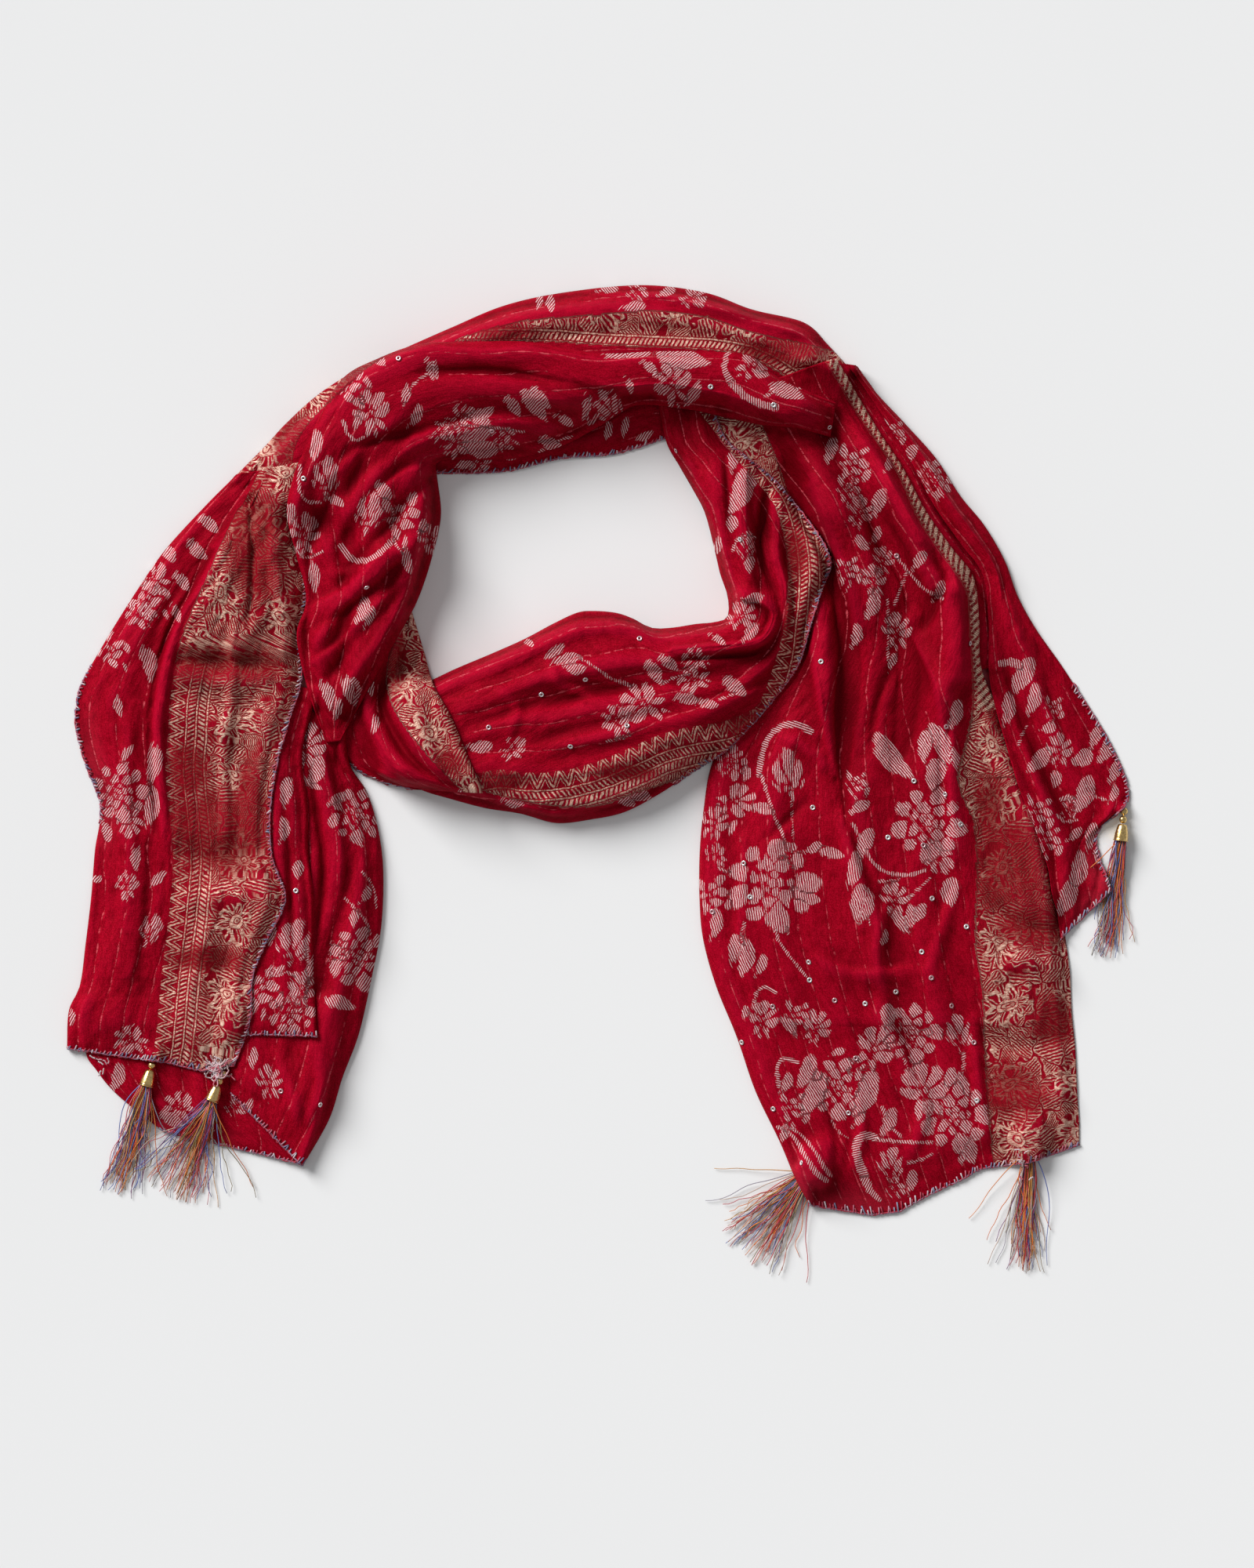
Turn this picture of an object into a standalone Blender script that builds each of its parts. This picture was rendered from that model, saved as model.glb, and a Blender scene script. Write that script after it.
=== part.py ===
"""Crimson silk scarf with woven gold borders, wound once and laid flat, with five tassels.

Plan positions and sizes are in millimetres: +X to the right and +Y up in plan, +Z up from the
table. Each stretch of cloth is a thin wall whose plan is lofted through named sections, from its
a edge to its b edge. The stretches are laid one after another: each rests on what lies there
already, bridges the hollows between, and carries its own folds.
"""
import math
from collections import namedtuple

import bpy
import numpy as np

MM = 0.001

# Driving dimensions, in millimetres
WALL = 1.6                # cloth wall, measured square to the cloth
STEEPEST_WALL = 2.4       # most that the wall grows in height where the cloth stands steeply
GAP = 0.3                 # between solids that touch
CORE_RIM = 1.6            # height of a hidden solid at its rim
BRIDGE = 9.0              # how far the cloth spans a hollow before it sinks in
SOFTEN = 3.0              # how far the cloth smooths what lies under it
EDGE_REACH = 12.0         # distance from an edge over which the cloth comes down to rest
LEAST_FOLD_WIDTH = 5.0    # narrowest fold flank of these walls
GROUND_STEP = 0.75        # spacing of the height map of what lies on the table
GROUND_LOW = (-330.0, -320.0)
GROUND_HIGH = (330.0, 310.0)
CENTRE = (-0.75, 1.05)     # middle of the whole scarf in plan, moved to the origin

# Tassel sizes
CAP_LENGTH = 9.0
CAP_TIP_RADIUS = 2.2
CAP_MOUTH_RADIUS = 4.2
CAP_SIDES = 10
BEAD_RADIUS = 2.1
BEAD_STEP = 4.6
BEAD_SIDES = 8
BEAD_STATIONS = 4
BEAD_THREAD_RADIUS = 0.7  # stiff thread between the two beads
BEAD_TILT = 0.19          # rise of the beads' axis towards the cap, for each unit along it
BEAD_DROP = 1.35          # how far the beads' middle lies below the cap's axis
HEAD_RADIUS = 3.3
HEAD_LENGTH = 2.4
HEAD_DEPTH = 1.2          # how far the thread head sits inside the cap
STRAND_RADIUS = 0.42
STRAND_SEGMENTS = 2
STRAND_START = 0.6        # from the thread head to a strand's first section
STRAND_CLEAR = 0.25       # least height of a strand's lowest side over what it lies on

Section = namedtuple("Section", "a_x a_y b_x b_y")
LayerSection = namedtuple("LayerSection", "a_x a_y b_x b_y height")
# A fold runs between two places, each given by its section number and its share of the way
# across; a_width and b_width are its flanks towards the a edge and the b edge.
Fold = namedtuple("Fold", "row_from across_from row_to across_to height a_width b_width")
# A hem wave moves the last edge outwards by `out` at the share `across`.
HemWave = namedtuple("HemWave", "across out")
Tassel = namedtuple("Tassel", "name mouth_x mouth_y heading fan length")

# Hidden layers, each stretch's share of the gathered cloth as one rounded solid
LAYERS_TOP_ARC = (
    LayerSection(-131, 63, -123, 61, 9),
    LayerSection(-131, 88, -109, 88, 14),
    LayerSection(-132, 118, -98, 118, 17),
    LayerSection(-133, 145, -92, 146, 18),
    LayerSection(-176, 163, -93, 168, 18),
    LayerSection(-162, 186, -86, 183, 19),
    LayerSection(-140, 207, -72, 185, 20),
    LayerSection(-111, 224, -56, 186, 20),
    LayerSection(-77, 241, -38, 189, 20),
    LayerSection(-44, 252, -19, 196, 20),
    LayerSection(-10, 258, 0, 205, 19),
    LayerSection(28, 261, 20, 212, 18),
    LayerSection(61, 255, 42, 212, 17),
    LayerSection(89, 246, 63, 208, 16),
    LayerSection(112, 235, 82, 202, 15),
    LayerSection(129, 218, 101, 197, 12),
)
LAYERS_FRONT_LOOP = (
    LayerSection(47, 171, 67, 172, 10),
    LayerSection(57, 151, 80, 153, 14),
    LayerSection(66, 128, 89, 130, 15),
    LayerSection(73, 107, 93, 107, 15),
    LayerSection(75, 88, 92, 82, 15),
    LayerSection(65, 81, 86, 64, 15),
    LayerSection(51, 80, 74, 47, 15),
    LayerSection(34, 78, 59, 29, 16),
    LayerSection(17, 83, 44, 13, 17),
    LayerSection(0, 87, 21, -2, 17),
    LayerSection(-16, 84, -4, -12, 17),
    LayerSection(-35, 75, -31, -13, 17),
    LayerSection(-56, 65, -58, -6, 16),
    LayerSection(-77, 55, -79, 0, 14),
    LayerSection(-94, 46, -98, 6, 11),
    LayerSection(-111, 40, -115, 15, 8),
)
LAYERS_LEFT_TAIL = (
    LayerSection(-180, 151, -138, 143, 13),
    LayerSection(-208, 126, -138, 118, 11),
    LayerSection(-231, 97, -137, 88, 9),
    LayerSection(-254, 63, -136, 55, 8),
    LayerSection(-258, 21, -147, 21, 7),
    LayerSection(-254, -21, -136, -21, 6),
    LayerSection(-256, -63, -132, -63, 5),
    LayerSection(-260, -101, -142, -101, 4),
)
LAYERS_RIGHT_TAIL = (
    LayerSection(112, 174, 149, 181, 12),
    LayerSection(118, 151, 168, 157, 12),
    LayerSection(126, 126, 187, 130, 11),
    LayerSection(127, 101, 201, 105, 10),
    LayerSection(122, 71, 209, 76, 9),
    LayerSection(109, 42, 214, 42, 8),
    LayerSection(93, 8, 225, 8, 7),
    LayerSection(82, -25, 235, -25, 6),
    LayerSection(78, -59, 240, -59, 6),
    LayerSection(82, -92, 240, -92, 5),
    LayerSection(99, -126, 233, -126, 4),
)

# Stretches of cloth that show
TOP_ARC_BACK = (
    Section(-195, 166, -165, 130),
    Section(-180, 181, -153, 151),
    Section(-168, 194, -140, 168),
    Section(-150, 210, -126, 178),
    Section(-126, 225, -109, 189),
    Section(-105, 234, -92, 195),
    Section(-80, 245, -69, 202),
    Section(-51, 257, -46, 208),
    Section(-19, 264, -16, 210),
    Section(23, 268, 20, 210),
    Section(57, 264, 49, 210),
    Section(82, 255, 70, 206),
    Section(110, 248, 90, 199),
    Section(123, 236, 102, 191),
    Section(134, 224, 110, 184),
)
TOP_ARC_BACK_FOLDS = (
    Fold(1, 0.24, 8, 0.22, 3.5, 6, 8),
    Fold(7, 0.20, 13.5, 0.24, 3.5, 6, 7),
    Fold(5, 0.50, 13, 0.42, -2.5, 5, 5),
    Fold(11.5, 0.66, 14, 0.60, -6, 7, 6),
)
RING_INNER_HEM = (
    Section(-81, 180, -86, 163),
    Section(-52, 183, -52, 168),
    Section(-23, 188, -21, 175),
    Section(2, 197, 5, 177),
    Section(23, 205, 21, 181),
    Section(38, 205, 36, 186),
)
RING_INNER_HEM_FOLDS = (Fold(1, 0.5, 4, 0.5, 1.5, 6, 6),)
TOP_ARC_FRONT = (
    Section(-151, 34, -131, 34),
    Section(-157, 55, -120, 53),
    Section(-162, 79, -106, 82),
    Section(-157, 99, -97, 100),
    Section(-162, 122, -90, 121),
    Section(-167, 145, -85, 144),
    Section(-163, 165, -87, 165),
    Section(-157, 180, -87, 172),
    Section(-149, 197, -80, 174),
    Section(-137, 218, -66, 174),
    Section(-119, 228, -54, 174),
    Section(-98, 235, -43, 175),
    Section(-72, 236, -31, 178),
    Section(-36, 236, -16, 183),
    Section(0, 230, 2, 193),
    Section(30, 231, 20, 203),
    Section(58, 231, 46, 201),
    Section(80, 229, 70, 196),
    Section(97, 217, 88, 192),
    Section(112, 210, 105, 190),
    Section(127, 204, 124, 186),
)
TOP_ARC_FRONT_FOLDS = (
    Fold(0.3, 0.30, 6, 0.22, 4, 6, 9),
    Fold(0.6, 0.64, 7.5, 0.55, 5, 8, 7),
    Fold(2, 0.88, 6.5, 0.86, 3, 6, 6),
    Fold(6, 0.32, 12, 0.36, 5, 10, 8),
    Fold(11, 0.40, 18.5, 0.45, 5, 8, 7),
    Fold(8, 0.72, 13, 0.68, 4, 7, 7),
    Fold(13, 0.42, 15.6, 0.92, 5, 12, 5),
    Fold(8.5, 0.14, 13, 0.15, 3, 5, 6),
)
FRONT_LOOP = (
    Section(34, 197, 59, 207),
    Section(36, 184, 66, 188),
    Section(43, 171, 78, 176),
    Section(51, 157, 93, 164),
    Section(57, 145, 107, 148),
    Section(62, 126, 120, 129),
    Section(65, 113, 124, 117),
    Section(69, 101, 119, 103),
    Section(69, 90, 113, 84),
    Section(62, 87, 107, 64),
    Section(52, 86, 95, 47),
    Section(39, 84, 82, 32),
    Section(28, 84, 68, 18),
    Section(18, 89, 51, 7),
    Section(9, 92, 33, -5),
    Section(-3, 93, 14, -15),
    Section(-12, 92, -4, -19),
    Section(-25, 86, -23, -21),
    Section(-40, 78, -42, -16),
    Section(-58, 70, -61, -13),
    Section(-77, 62, -80, -8),
    Section(-92, 55, -96, -3),
    Section(-106, 50, -112, 6),
)
FRONT_LOOP_FOLDS = (
    Fold(1.5, 0.45, 5.5, 0.14, 3, 5, 8),
    Fold(3.2, 0.78, 5.2, 0.41, -3, 5, 5),
    Fold(3.5, 0.86, 9, 0.88, 3, 6, 5),
    Fold(6.9, 0.10, 8.4, 0.42, 4, 6, 5),
    Fold(8.4, 0.46, 11, 0.30, 5, 5, 6),
    Fold(10.5, 0.20, 18, 0.22, 4, 9, 9),
    Fold(11, 0.52, 20, 0.45, 4, 9, 8),
    Fold(10, 0.76, 21, 0.76, 3, 7, 6),
)
LOOP_LEFT_END = (
    Section(-124, 84, -101, 94),
    Section(-130, 63, -94, 71),
    Section(-136, 42, -89, 54),
    Section(-140, 26, -79, 36),
    Section(-134, 11, -71, 17),
    Section(-119, 2, -65, 3),
    Section(-100, -3, -62, -5),
)
LOOP_LEFT_END_FOLDS = (
    Fold(0.5, 0.35, 5, 0.34, 4, 6, 6),
    Fold(1, 0.74, 6, 0.66, 3, 6, 6),
)
RIGHT_TAIL_FRONT = (
    Section(70, 203, 127, 228),
    Section(67, 186, 137, 212),
    Section(76, 168, 150, 190),
    Section(87, 149, 163, 170),
    Section(96, 126, 175, 147),
    Section(99, 100, 189, 127),
    Section(97, 79, 201, 111),
    Section(92, 61, 204, 88),
    Section(82, 45, 205, 63),
    Section(70, 30, 215, 40),
    Section(60, 9, 225, 19),
    Section(56, -15, 234, -4),
    Section(54, -38, 242, -27),
    Section(54, -63, 247, -55),
    Section(56, -84, 250, -78),
    Section(63, -109, 253, -101),
    Section(74, -136, 254, -122),
    Section(84, -165, 256, -143),
    Section(97, -192, 257, -166),
    Section(105, -211, 258, -181),
    Section(113, -226, 258, -194),
)
RIGHT_TAIL_FRONT_FOLDS = (
    Fold(0.3, 0.62, 4, 0.48, 6, 8, 8),
    Fold(3.0, 0.42, 6.8, 0.40, 7, 6, 10),
    Fold(1.5, 0.86, 6, 0.90, 3, 7, 6),
    Fold(6.8, 0.42, 9.6, 0.40, -3, 6, 6),
    Fold(5, 0.84, 8, 0.86, 3, 6, 6),
    Fold(8.5, 0.80, 12.5, 0.72, 4, 5, 9),
    Fold(8, 0.22, 15, 0.20, 4, 11, 11),
    Fold(9.5, 0.47, 17, 0.42, 4, 12, 10),
    Fold(12, 0.62, 18, 0.60, 3, 9, 9),
    Fold(14, 0.30, 17.6, 0.34, 2.5, 9, 9),
    Fold(12.5, 0.88, 16.8, 0.87, 2, 8, 8),
)
RIGHT_TAIL_FRONT_HEM = (
    HemWave(0.0, 0), HemWave(0.10, 7), HemWave(0.20, 13), HemWave(0.30, 14), HemWave(0.42, 9),
    HemWave(0.57, 4), HemWave(0.63, 1), HemWave(0.8, 3), HemWave(1.0, 0),
)
RIGHT_TAIL_OUTER = (
    Section(133, 225, 139, 224),
    Section(142, 213, 149, 210),
    Section(155, 193, 164, 194),
    Section(168, 172, 181, 175),
    Section(180, 149, 194, 155),
    Section(194, 129, 207, 139),
    Section(206, 112, 218, 120),
    Section(209, 88, 225, 101),
    Section(209, 63, 235, 83),
    Section(212, 44, 249, 63),
    Section(218, 22, 263, 41),
    Section(225, -2, 275, 21),
    Section(233, -22, 284, -1),
    Section(237, -34, 282, -12),
    Section(241, -46, 268, -26),
    Section(243, -59, 269, -40),
    Section(246, -69, 272, -48),
    Section(248, -83, 275, -57),
)
RIGHT_TAIL_OUTER_FOLDS = (
    Fold(1, 0.5, 8, 0.5, 4, 6, 7),
    Fold(7.5, 0.42, 12.5, 0.52, 4, 8, 9),
    Fold(12.5, 0.32, 16.5, 0.34, 3, 6, 6),
)
LEFT_TAIL_BACK = (
    Section(-274, -118, -142, -118),
    Section(-276, -143, -145, -145),
    Section(-270, -154, -150, -168),
    Section(-261, -165, -154, -185),
    Section(-247, -177, -157, -196),
    Section(-235, -186, -160, -204),
)
LEFT_TAIL_BACK_FOLDS = (Fold(1.5, 0.30, 5, 0.34, 2, 8, 9),)
LEFT_TAIL_SIDE = (
    Section(-170, 46, -136, 31),
    Section(-174, 21, -134, 11),
    Section(-176, -4, -125, -4),
    Section(-178, -25, -119, -23),
    Section(-180, -46, -116, -46),
    Section(-184, -71, -117, -76),
    Section(-191, -97, -122, -103),
    Section(-196, -122, -129, -134),
    Section(-197, -143, -138, -158),
    Section(-198, -156, -145, -180),
    Section(-198, -166, -159, -205),
)
LEFT_TAIL_SIDE_FOLDS = (
    Fold(0.5, 0.50, 7, 0.48, 4, 8, 9),
    Fold(3, 0.76, 9, 0.70, 3, 7, 7),
)
LEFT_TAIL_MIDDLE = (
    Section(-187, 59, -151, 50),
    Section(-191, 17, -159, 17),
    Section(-195, -13, -156, -13),
    Section(-195, -38, -156, -36),
    Section(-195, -63, -153, -60),
    Section(-195, -84, -153, -82),
    Section(-196, -109, -153, -103),
    Section(-195, -134, -151, -135),
)
LEFT_TAIL_MIDDLE_FOLDS = (Fold(0.5, 0.62, 6.5, 0.60, 3, 7, 7),)
LEFT_TAIL_FRONT = (
    Section(-195, 166, -159, 172),
    Section(-211, 150, -160, 151),
    Section(-233, 126, -159, 126),
    Section(-249, 103, -157, 101),
    Section(-267, 74, -160, 79),
    Section(-279, 51, -160, 55),
    Section(-281, 31, -166, 34),
    Section(-276, 11, -172, 12),
    Section(-268, -12, -176, -15),
    Section(-271, -36, -175, -39),
    Section(-273, -61, -168, -61),
    Section(-276, -86, -178, -84),
    Section(-279, -108, -186, -104),
    Section(-285, -122, -187, -126),
    Section(-286, -142, -196, -151),
)
LEFT_TAIL_FRONT_FOLDS = (
    Fold(1.2, 0.48, 5.2, 0.37, 6, 5, 18),
    Fold(4.8, 0.37, 9, 0.41, 4, 5, 18),
    Fold(2, 0.16, 8, 0.14, 3, 8, 8),
    Fold(2, 0.72, 7, 0.70, 3, 9, 9),
    Fold(8, 0.70, 13, 0.66, 2.5, 11, 11),
    Fold(8.5, 0.24, 13.5, 0.24, 2.5, 10, 10),
)
LEFT_TAIL_FRONT_HEM = (
    HemWave(0.0, 0), HemWave(0.3, 1), HemWave(0.6, 2), HemWave(0.83, 5), HemWave(1.0, 0),
)

TASSELS = (
    Tassel("tassel_left_outer", -243, -162, -105, 11, 60),
    Tassel("tassel_left_inner", -208, -170, -113, 26, 56),
    Tassel("tassel_right_corner", 280, -30.5, -97, 8, 62),
    Tassel("tassel_right_hem_left", 111, -209, -130, 34, 56),
    Tassel("tassel_right_hem_right", 231.5, -199, -93, 8, 62),
)

# Colour, roughness and metallic value of each material
SILK = ((0.36, 0.006, 0.022), 0.45, 0.0)
ZARI_SILK = ((0.46, 0.13, 0.08), 0.40, 0.3)
INNER_SILK = ((0.27, 0.005, 0.018), 0.60, 0.0)
BRASS = ((0.78, 0.57, 0.22), 0.28, 1.0)
THREAD = ((0.62, 0.22, 0.18), 0.60, 0.0)


def clear_scene():
    for old in list(bpy.data.objects):
        bpy.data.objects.remove(old, do_unlink=True)


def make_material(name, look):
    colour, roughness, metallic = look
    material = bpy.data.materials.new(name)
    material.use_nodes = True
    shader = material.node_tree.nodes["Principled BSDF"]
    shader.inputs["Base Color"].default_value = (*colour, 1.0)
    shader.inputs["Roughness"].default_value = roughness
    shader.inputs["Metallic"].default_value = metallic
    material.diffuse_color = (*colour, 1.0)
    return material


def make_solid(name, points, faces, material, smooth=True):
    """A closed mesh from points in millimetres, moved so that the scarf's middle is the origin."""
    mesh = bpy.data.meshes.new(name)
    placed = (np.asarray(points, float) - (*CENTRE, 0.0)) * MM
    mesh.from_pydata(placed.tolist(), [], [tuple(map(int, face)) for face in faces])
    mesh.validate()
    if smooth:
        mesh.shade_smooth()
        mesh.set_sharp_from_angle(angle=math.radians(40))
    mesh.materials.append(material)
    solid = bpy.data.objects.new(name, mesh)
    bpy.context.scene.collection.objects.link(solid)
    return solid


def smooth_row(points, at):
    """Points read from a smooth curve through evenly numbered points (Catmull-Rom)."""
    points = np.asarray(points, float)
    last = len(points) - 1
    padded = np.vstack([2 * points[0] - points[1], points, 2 * points[-1] - points[-2]])
    start = np.clip(np.floor(at).astype(int), 0, last - 1)
    q = (np.asarray(at) - start)[:, None]
    before, here, there, after = (padded[start + k] for k in range(4))
    slope_here = (there - before) / 2
    slope_there = (after - here) / 2
    return (here * (1 + 2 * q) * (1 - q) ** 2 + there * q * q * (3 - 2 * q)
            + slope_here * q * (1 - q) ** 2 - slope_there * q * q * (1 - q))


def even_rows(sections, count):
    """Section numbers, evenly spaced along the stretch's middle line."""
    table = np.asarray(sections, float)[:, :4]
    fine = np.linspace(0, len(table) - 1, 40 * len(table))
    edges = smooth_row(table, fine)
    middle = (edges[:, :2] + edges[:, 2:]) / 2
    run = np.concatenate([[0], np.cumsum(np.linalg.norm(np.diff(middle, axis=0), axis=1))])
    return np.interp(np.linspace(0, run[-1], count), run, fine)


def across_shares(count, crowding):
    """Shares from 0 to 1 across a stretch, closer together near both edges."""
    even = np.linspace(0, 1, count)
    return even - crowding * np.sin(2 * np.pi * even) / (2 * np.pi)


def plan_point(sections, row, across):
    """Plan positions at section numbers and shares across."""
    edges = smooth_row(np.asarray(sections, float)[:, :4], row)
    share = np.asarray(across)[:, None]
    return edges[:, :2] * (1 - share) + edges[:, 2:] * share


def plan_grid(sections, rows, shares):
    edges = smooth_row(np.asarray(sections, float)[:, :4], rows)
    a_edge = edges[:, None, :2]
    b_edge = edges[:, None, 2:]
    return a_edge + (b_edge - a_edge) * shares[None, :, None]


def hem_shift(plan, shares, waves, reach=50.0):
    """Move the last rows outwards along the stretch, by the hem's waves."""
    middle = plan.mean(axis=1)
    run = np.concatenate([[0], np.cumsum(np.linalg.norm(np.diff(middle, axis=0), axis=1))])
    share_left = np.clip(1 - (run[-1] - run) / reach, 0, 1) ** 2
    forward = plan[-1] - plan[-2]
    forward = forward / np.linalg.norm(forward, axis=1, keepdims=True)
    out = np.interp(shares, [w.across for w in waves], [w.out for w in waves])
    return plan + share_left[:, None, None] * (forward * out[:, None])[None]


def fold_heights(plan, sections, folds, least_width):
    """Height of all folds at each plan point: each is a soft ridge or trough along its line."""
    lift = np.zeros(plan.shape[:2])
    for fold in folds:
        count = 24
        share = np.linspace(0, 1, count)
        row = fold.row_from + (fold.row_to - fold.row_from) * share
        across = fold.across_from + (fold.across_to - fold.across_from) * share
        line = plan_point(sections, row, across)
        edges = smooth_row(np.asarray(sections, float)[:, :4], row)
        to_b = edges[:, 2:] - edges[:, :2]
        offset = plan[:, :, None, :] - line[None, None]
        distance = np.linalg.norm(offset, axis=3)
        nearest = distance.argmin(axis=2)
        close = np.take_along_axis(distance, nearest[..., None], axis=2)[..., 0]
        nearest_offset = np.take_along_axis(offset, nearest[..., None, None], axis=2)[:, :, 0]
        side = (nearest_offset * to_b[nearest]).sum(axis=2)
        width = np.where(side > 0, max(fold.b_width, least_width), max(fold.a_width, least_width))
        taper = np.sqrt(np.clip(np.sin(np.pi * (0.06 + 0.88 * share[nearest])), 0, 1))
        lift += fold.height * taper * np.exp(-(close / width) ** 2)
    return lift


class Ground:
    """Height map of everything laid on the table so far."""

    def __init__(self):
        size = (np.subtract(GROUND_HIGH, GROUND_LOW) / GROUND_STEP).astype(int) + 1
        self.height = np.zeros((size[1], size[0]))

    def cell(self, plan):
        column = np.rint((plan[..., 0] - GROUND_LOW[0]) / GROUND_STEP).astype(int)
        row = np.rint((plan[..., 1] - GROUND_LOW[1]) / GROUND_STEP).astype(int)
        return row, column

    def raise_to(self, plan, z):
        np.maximum.at(self.height, self.cell(plan), z)

    @staticmethod
    def spread(height, cells, pick):
        """Largest or smallest height within a square of cells, by the function pick."""
        for axis in (0, 1):
            wide = height
            for shift in range(1, cells + 1):
                wide = pick(wide, np.roll(height, shift, axis))
                wide = pick(wide, np.roll(height, -shift, axis))
            height = wide
        return height

    @staticmethod
    def blur(height, cells):
        for _ in range(2):
            for axis in (0, 1):
                height = sum(np.roll(height, k, axis) for k in range(-cells, cells + 1))
                height = height / (2 * cells + 1)
        return height

    def touching(self):
        return self.spread(self.height, 1, np.maximum)

    def draped(self):
        cells = round(BRIDGE / GROUND_STEP)
        closed = self.spread(self.spread(self.height, cells, np.maximum), cells, np.minimum)
        soft = self.blur(closed, max(1, round(SOFTEN / GROUND_STEP)))
        return np.maximum(soft, self.touching())


def triangle_samples(count):
    """Weights of a grid cell's corners at count x count places on its two triangles."""
    even = (np.arange(count) + 0.5) / count
    u, v = (part.ravel() for part in np.meshgrid(even, even, indexing="ij"))
    first = u >= v
    w00 = np.where(first, 1 - u, 1 - v)
    w11 = np.where(first, v, u)
    w10 = np.where(first, u - v, 0)
    w01 = np.where(first, 0, v - u)
    return np.stack([w00, w10, w11, w01], axis=1)


def corner_values(grid):
    return np.stack([grid[:-1, :-1], grid[1:, :-1], grid[1:, 1:], grid[:-1, 1:]], axis=2)


def facet_points(plan, z, weights):
    corners = corner_values(plan)
    heights = corner_values(z)
    return (np.einsum("kc,ijcd->ijkd", weights, corners), np.einsum("kc,ijc->ijk", weights, heights))


CORNER_SHIFTS = ((0, 0), (1, 0), (1, 1), (0, 1))


def clear_of(ground_height, ground, plan, wanted, weights):
    """Raise the corners of each facet that would dip into what lies beneath it, and no more."""
    places = facet_points(plan, wanted, weights)[0]
    beneath = ground_height[ground.cell(places)]
    needed = np.where(beneath > 0, beneath + GAP, 0.0)
    rows, columns = wanted.shape

    def window(grid, corner):
        down, right = CORNER_SHIFTS[corner]
        return grid[down:rows - 1 + down, right:columns - 1 + right]

    under = wanted.copy()
    for _ in range(30):
        short = np.maximum(needed - facet_points(plan, under, weights)[1], 0)
        if short.max() < 1e-6:
            break
        raised = under.copy()
        for corner in range(4):
            ask = np.where(weights[:, corner] > 0.02, short, 0).max(axis=2)
            part = window(raised, corner)
            np.maximum(part, window(under, corner) + ask, out=part)
        under = raised
    for turn in range(16):
        parity = (turn % 2, turn // 2 % 2)
        spare = np.maximum(facet_points(plan, under, weights)[1] - needed, 0)
        drop = under - wanted
        for corner in range(4):
            share = weights[:, corner]
            reach = share > 0.02
            most = (spare[:, :, reach] / share[reach]).min(axis=2)
            part = window(drop, corner)
            np.minimum(part, most, out=part)
        movable = np.zeros_like(under, bool)
        movable[parity[0]::2, parity[1]::2] = True
        under = np.where(movable, under - 0.98 * np.maximum(drop, 0), under)
    return under


def grid_faces(rows, columns, flip):
    """Triangles of a closed wall: outer grid first, then the inner grid, then the rim."""
    inner = rows * columns
    faces = []
    for i in range(rows - 1):
        for j in range(columns - 1):
            p00 = i * columns + j
            p10 = p00 + columns
            p11 = p10 + 1
            p01 = p00 + 1
            faces += [(p00, p10, p11), (p00, p11, p01)]
            faces += [(inner + p00, inner + p11, inner + p10), (inner + p00, inner + p01, inner + p11)]
    rim = [(0, j) for j in range(columns - 1)]
    rim += [(i, columns - 1) for i in range(rows - 1)]
    rim += [(rows - 1, j) for j in range(columns - 1, 0, -1)]
    rim += [(i, 0) for i in range(rows - 1, 0, -1)]
    loop = [i * columns + j for i, j in rim]
    for here, there in zip(loop, loop[1:] + loop[:1]):
        faces += [(here, there, inner + there), (here, inner + there, inner + here)]
    return [face[::-1] for face in faces] if flip else faces


def is_clockwise(plan):
    """True where rows by columns run so that the outer grid's faces would point down."""
    along = plan[1:, :-1] - plan[:-1, :-1]
    across = plan[:-1, 1:] - plan[:-1, :-1]
    return (along[..., 0] * across[..., 1] - along[..., 1] * across[..., 0]).sum() < 0


def record_on(ground, plan, z, weights):
    places, heights = facet_points(plan, z, weights)
    ground.raise_to(places, heights)


def lay_hidden_layers(ground, name, sections, row_count, column_count, material):
    """One rounded solid with a flat underside: a dome across, rounded off at both ends."""
    rows = even_rows(sections, row_count)
    shares = across_shares(column_count, 0.85)
    plan = plan_grid(sections, rows, shares)
    height = np.interp(rows, range(len(sections)), [s.height for s in sections])
    run = np.linspace(0, 1, row_count)
    ends = np.clip(1 - np.abs(2 * run - 1) ** 12, 0.12, 1) ** 0.5
    dome = np.sqrt(np.clip(1 - (2 * shares - 1) ** 2, 0, 1))
    top = np.maximum(height[:, None] * ends[:, None] * dome[None, :], CORE_RIM)
    under = np.zeros_like(top)
    points = np.concatenate([np.dstack([plan, top]).reshape(-1, 3), np.dstack([plan, under]).reshape(-1, 3)])
    faces = grid_faces(row_count, column_count, is_clockwise(plan))
    record_on(ground, plan, top, triangle_samples(24))
    return make_solid(name, points, faces, material)


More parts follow.
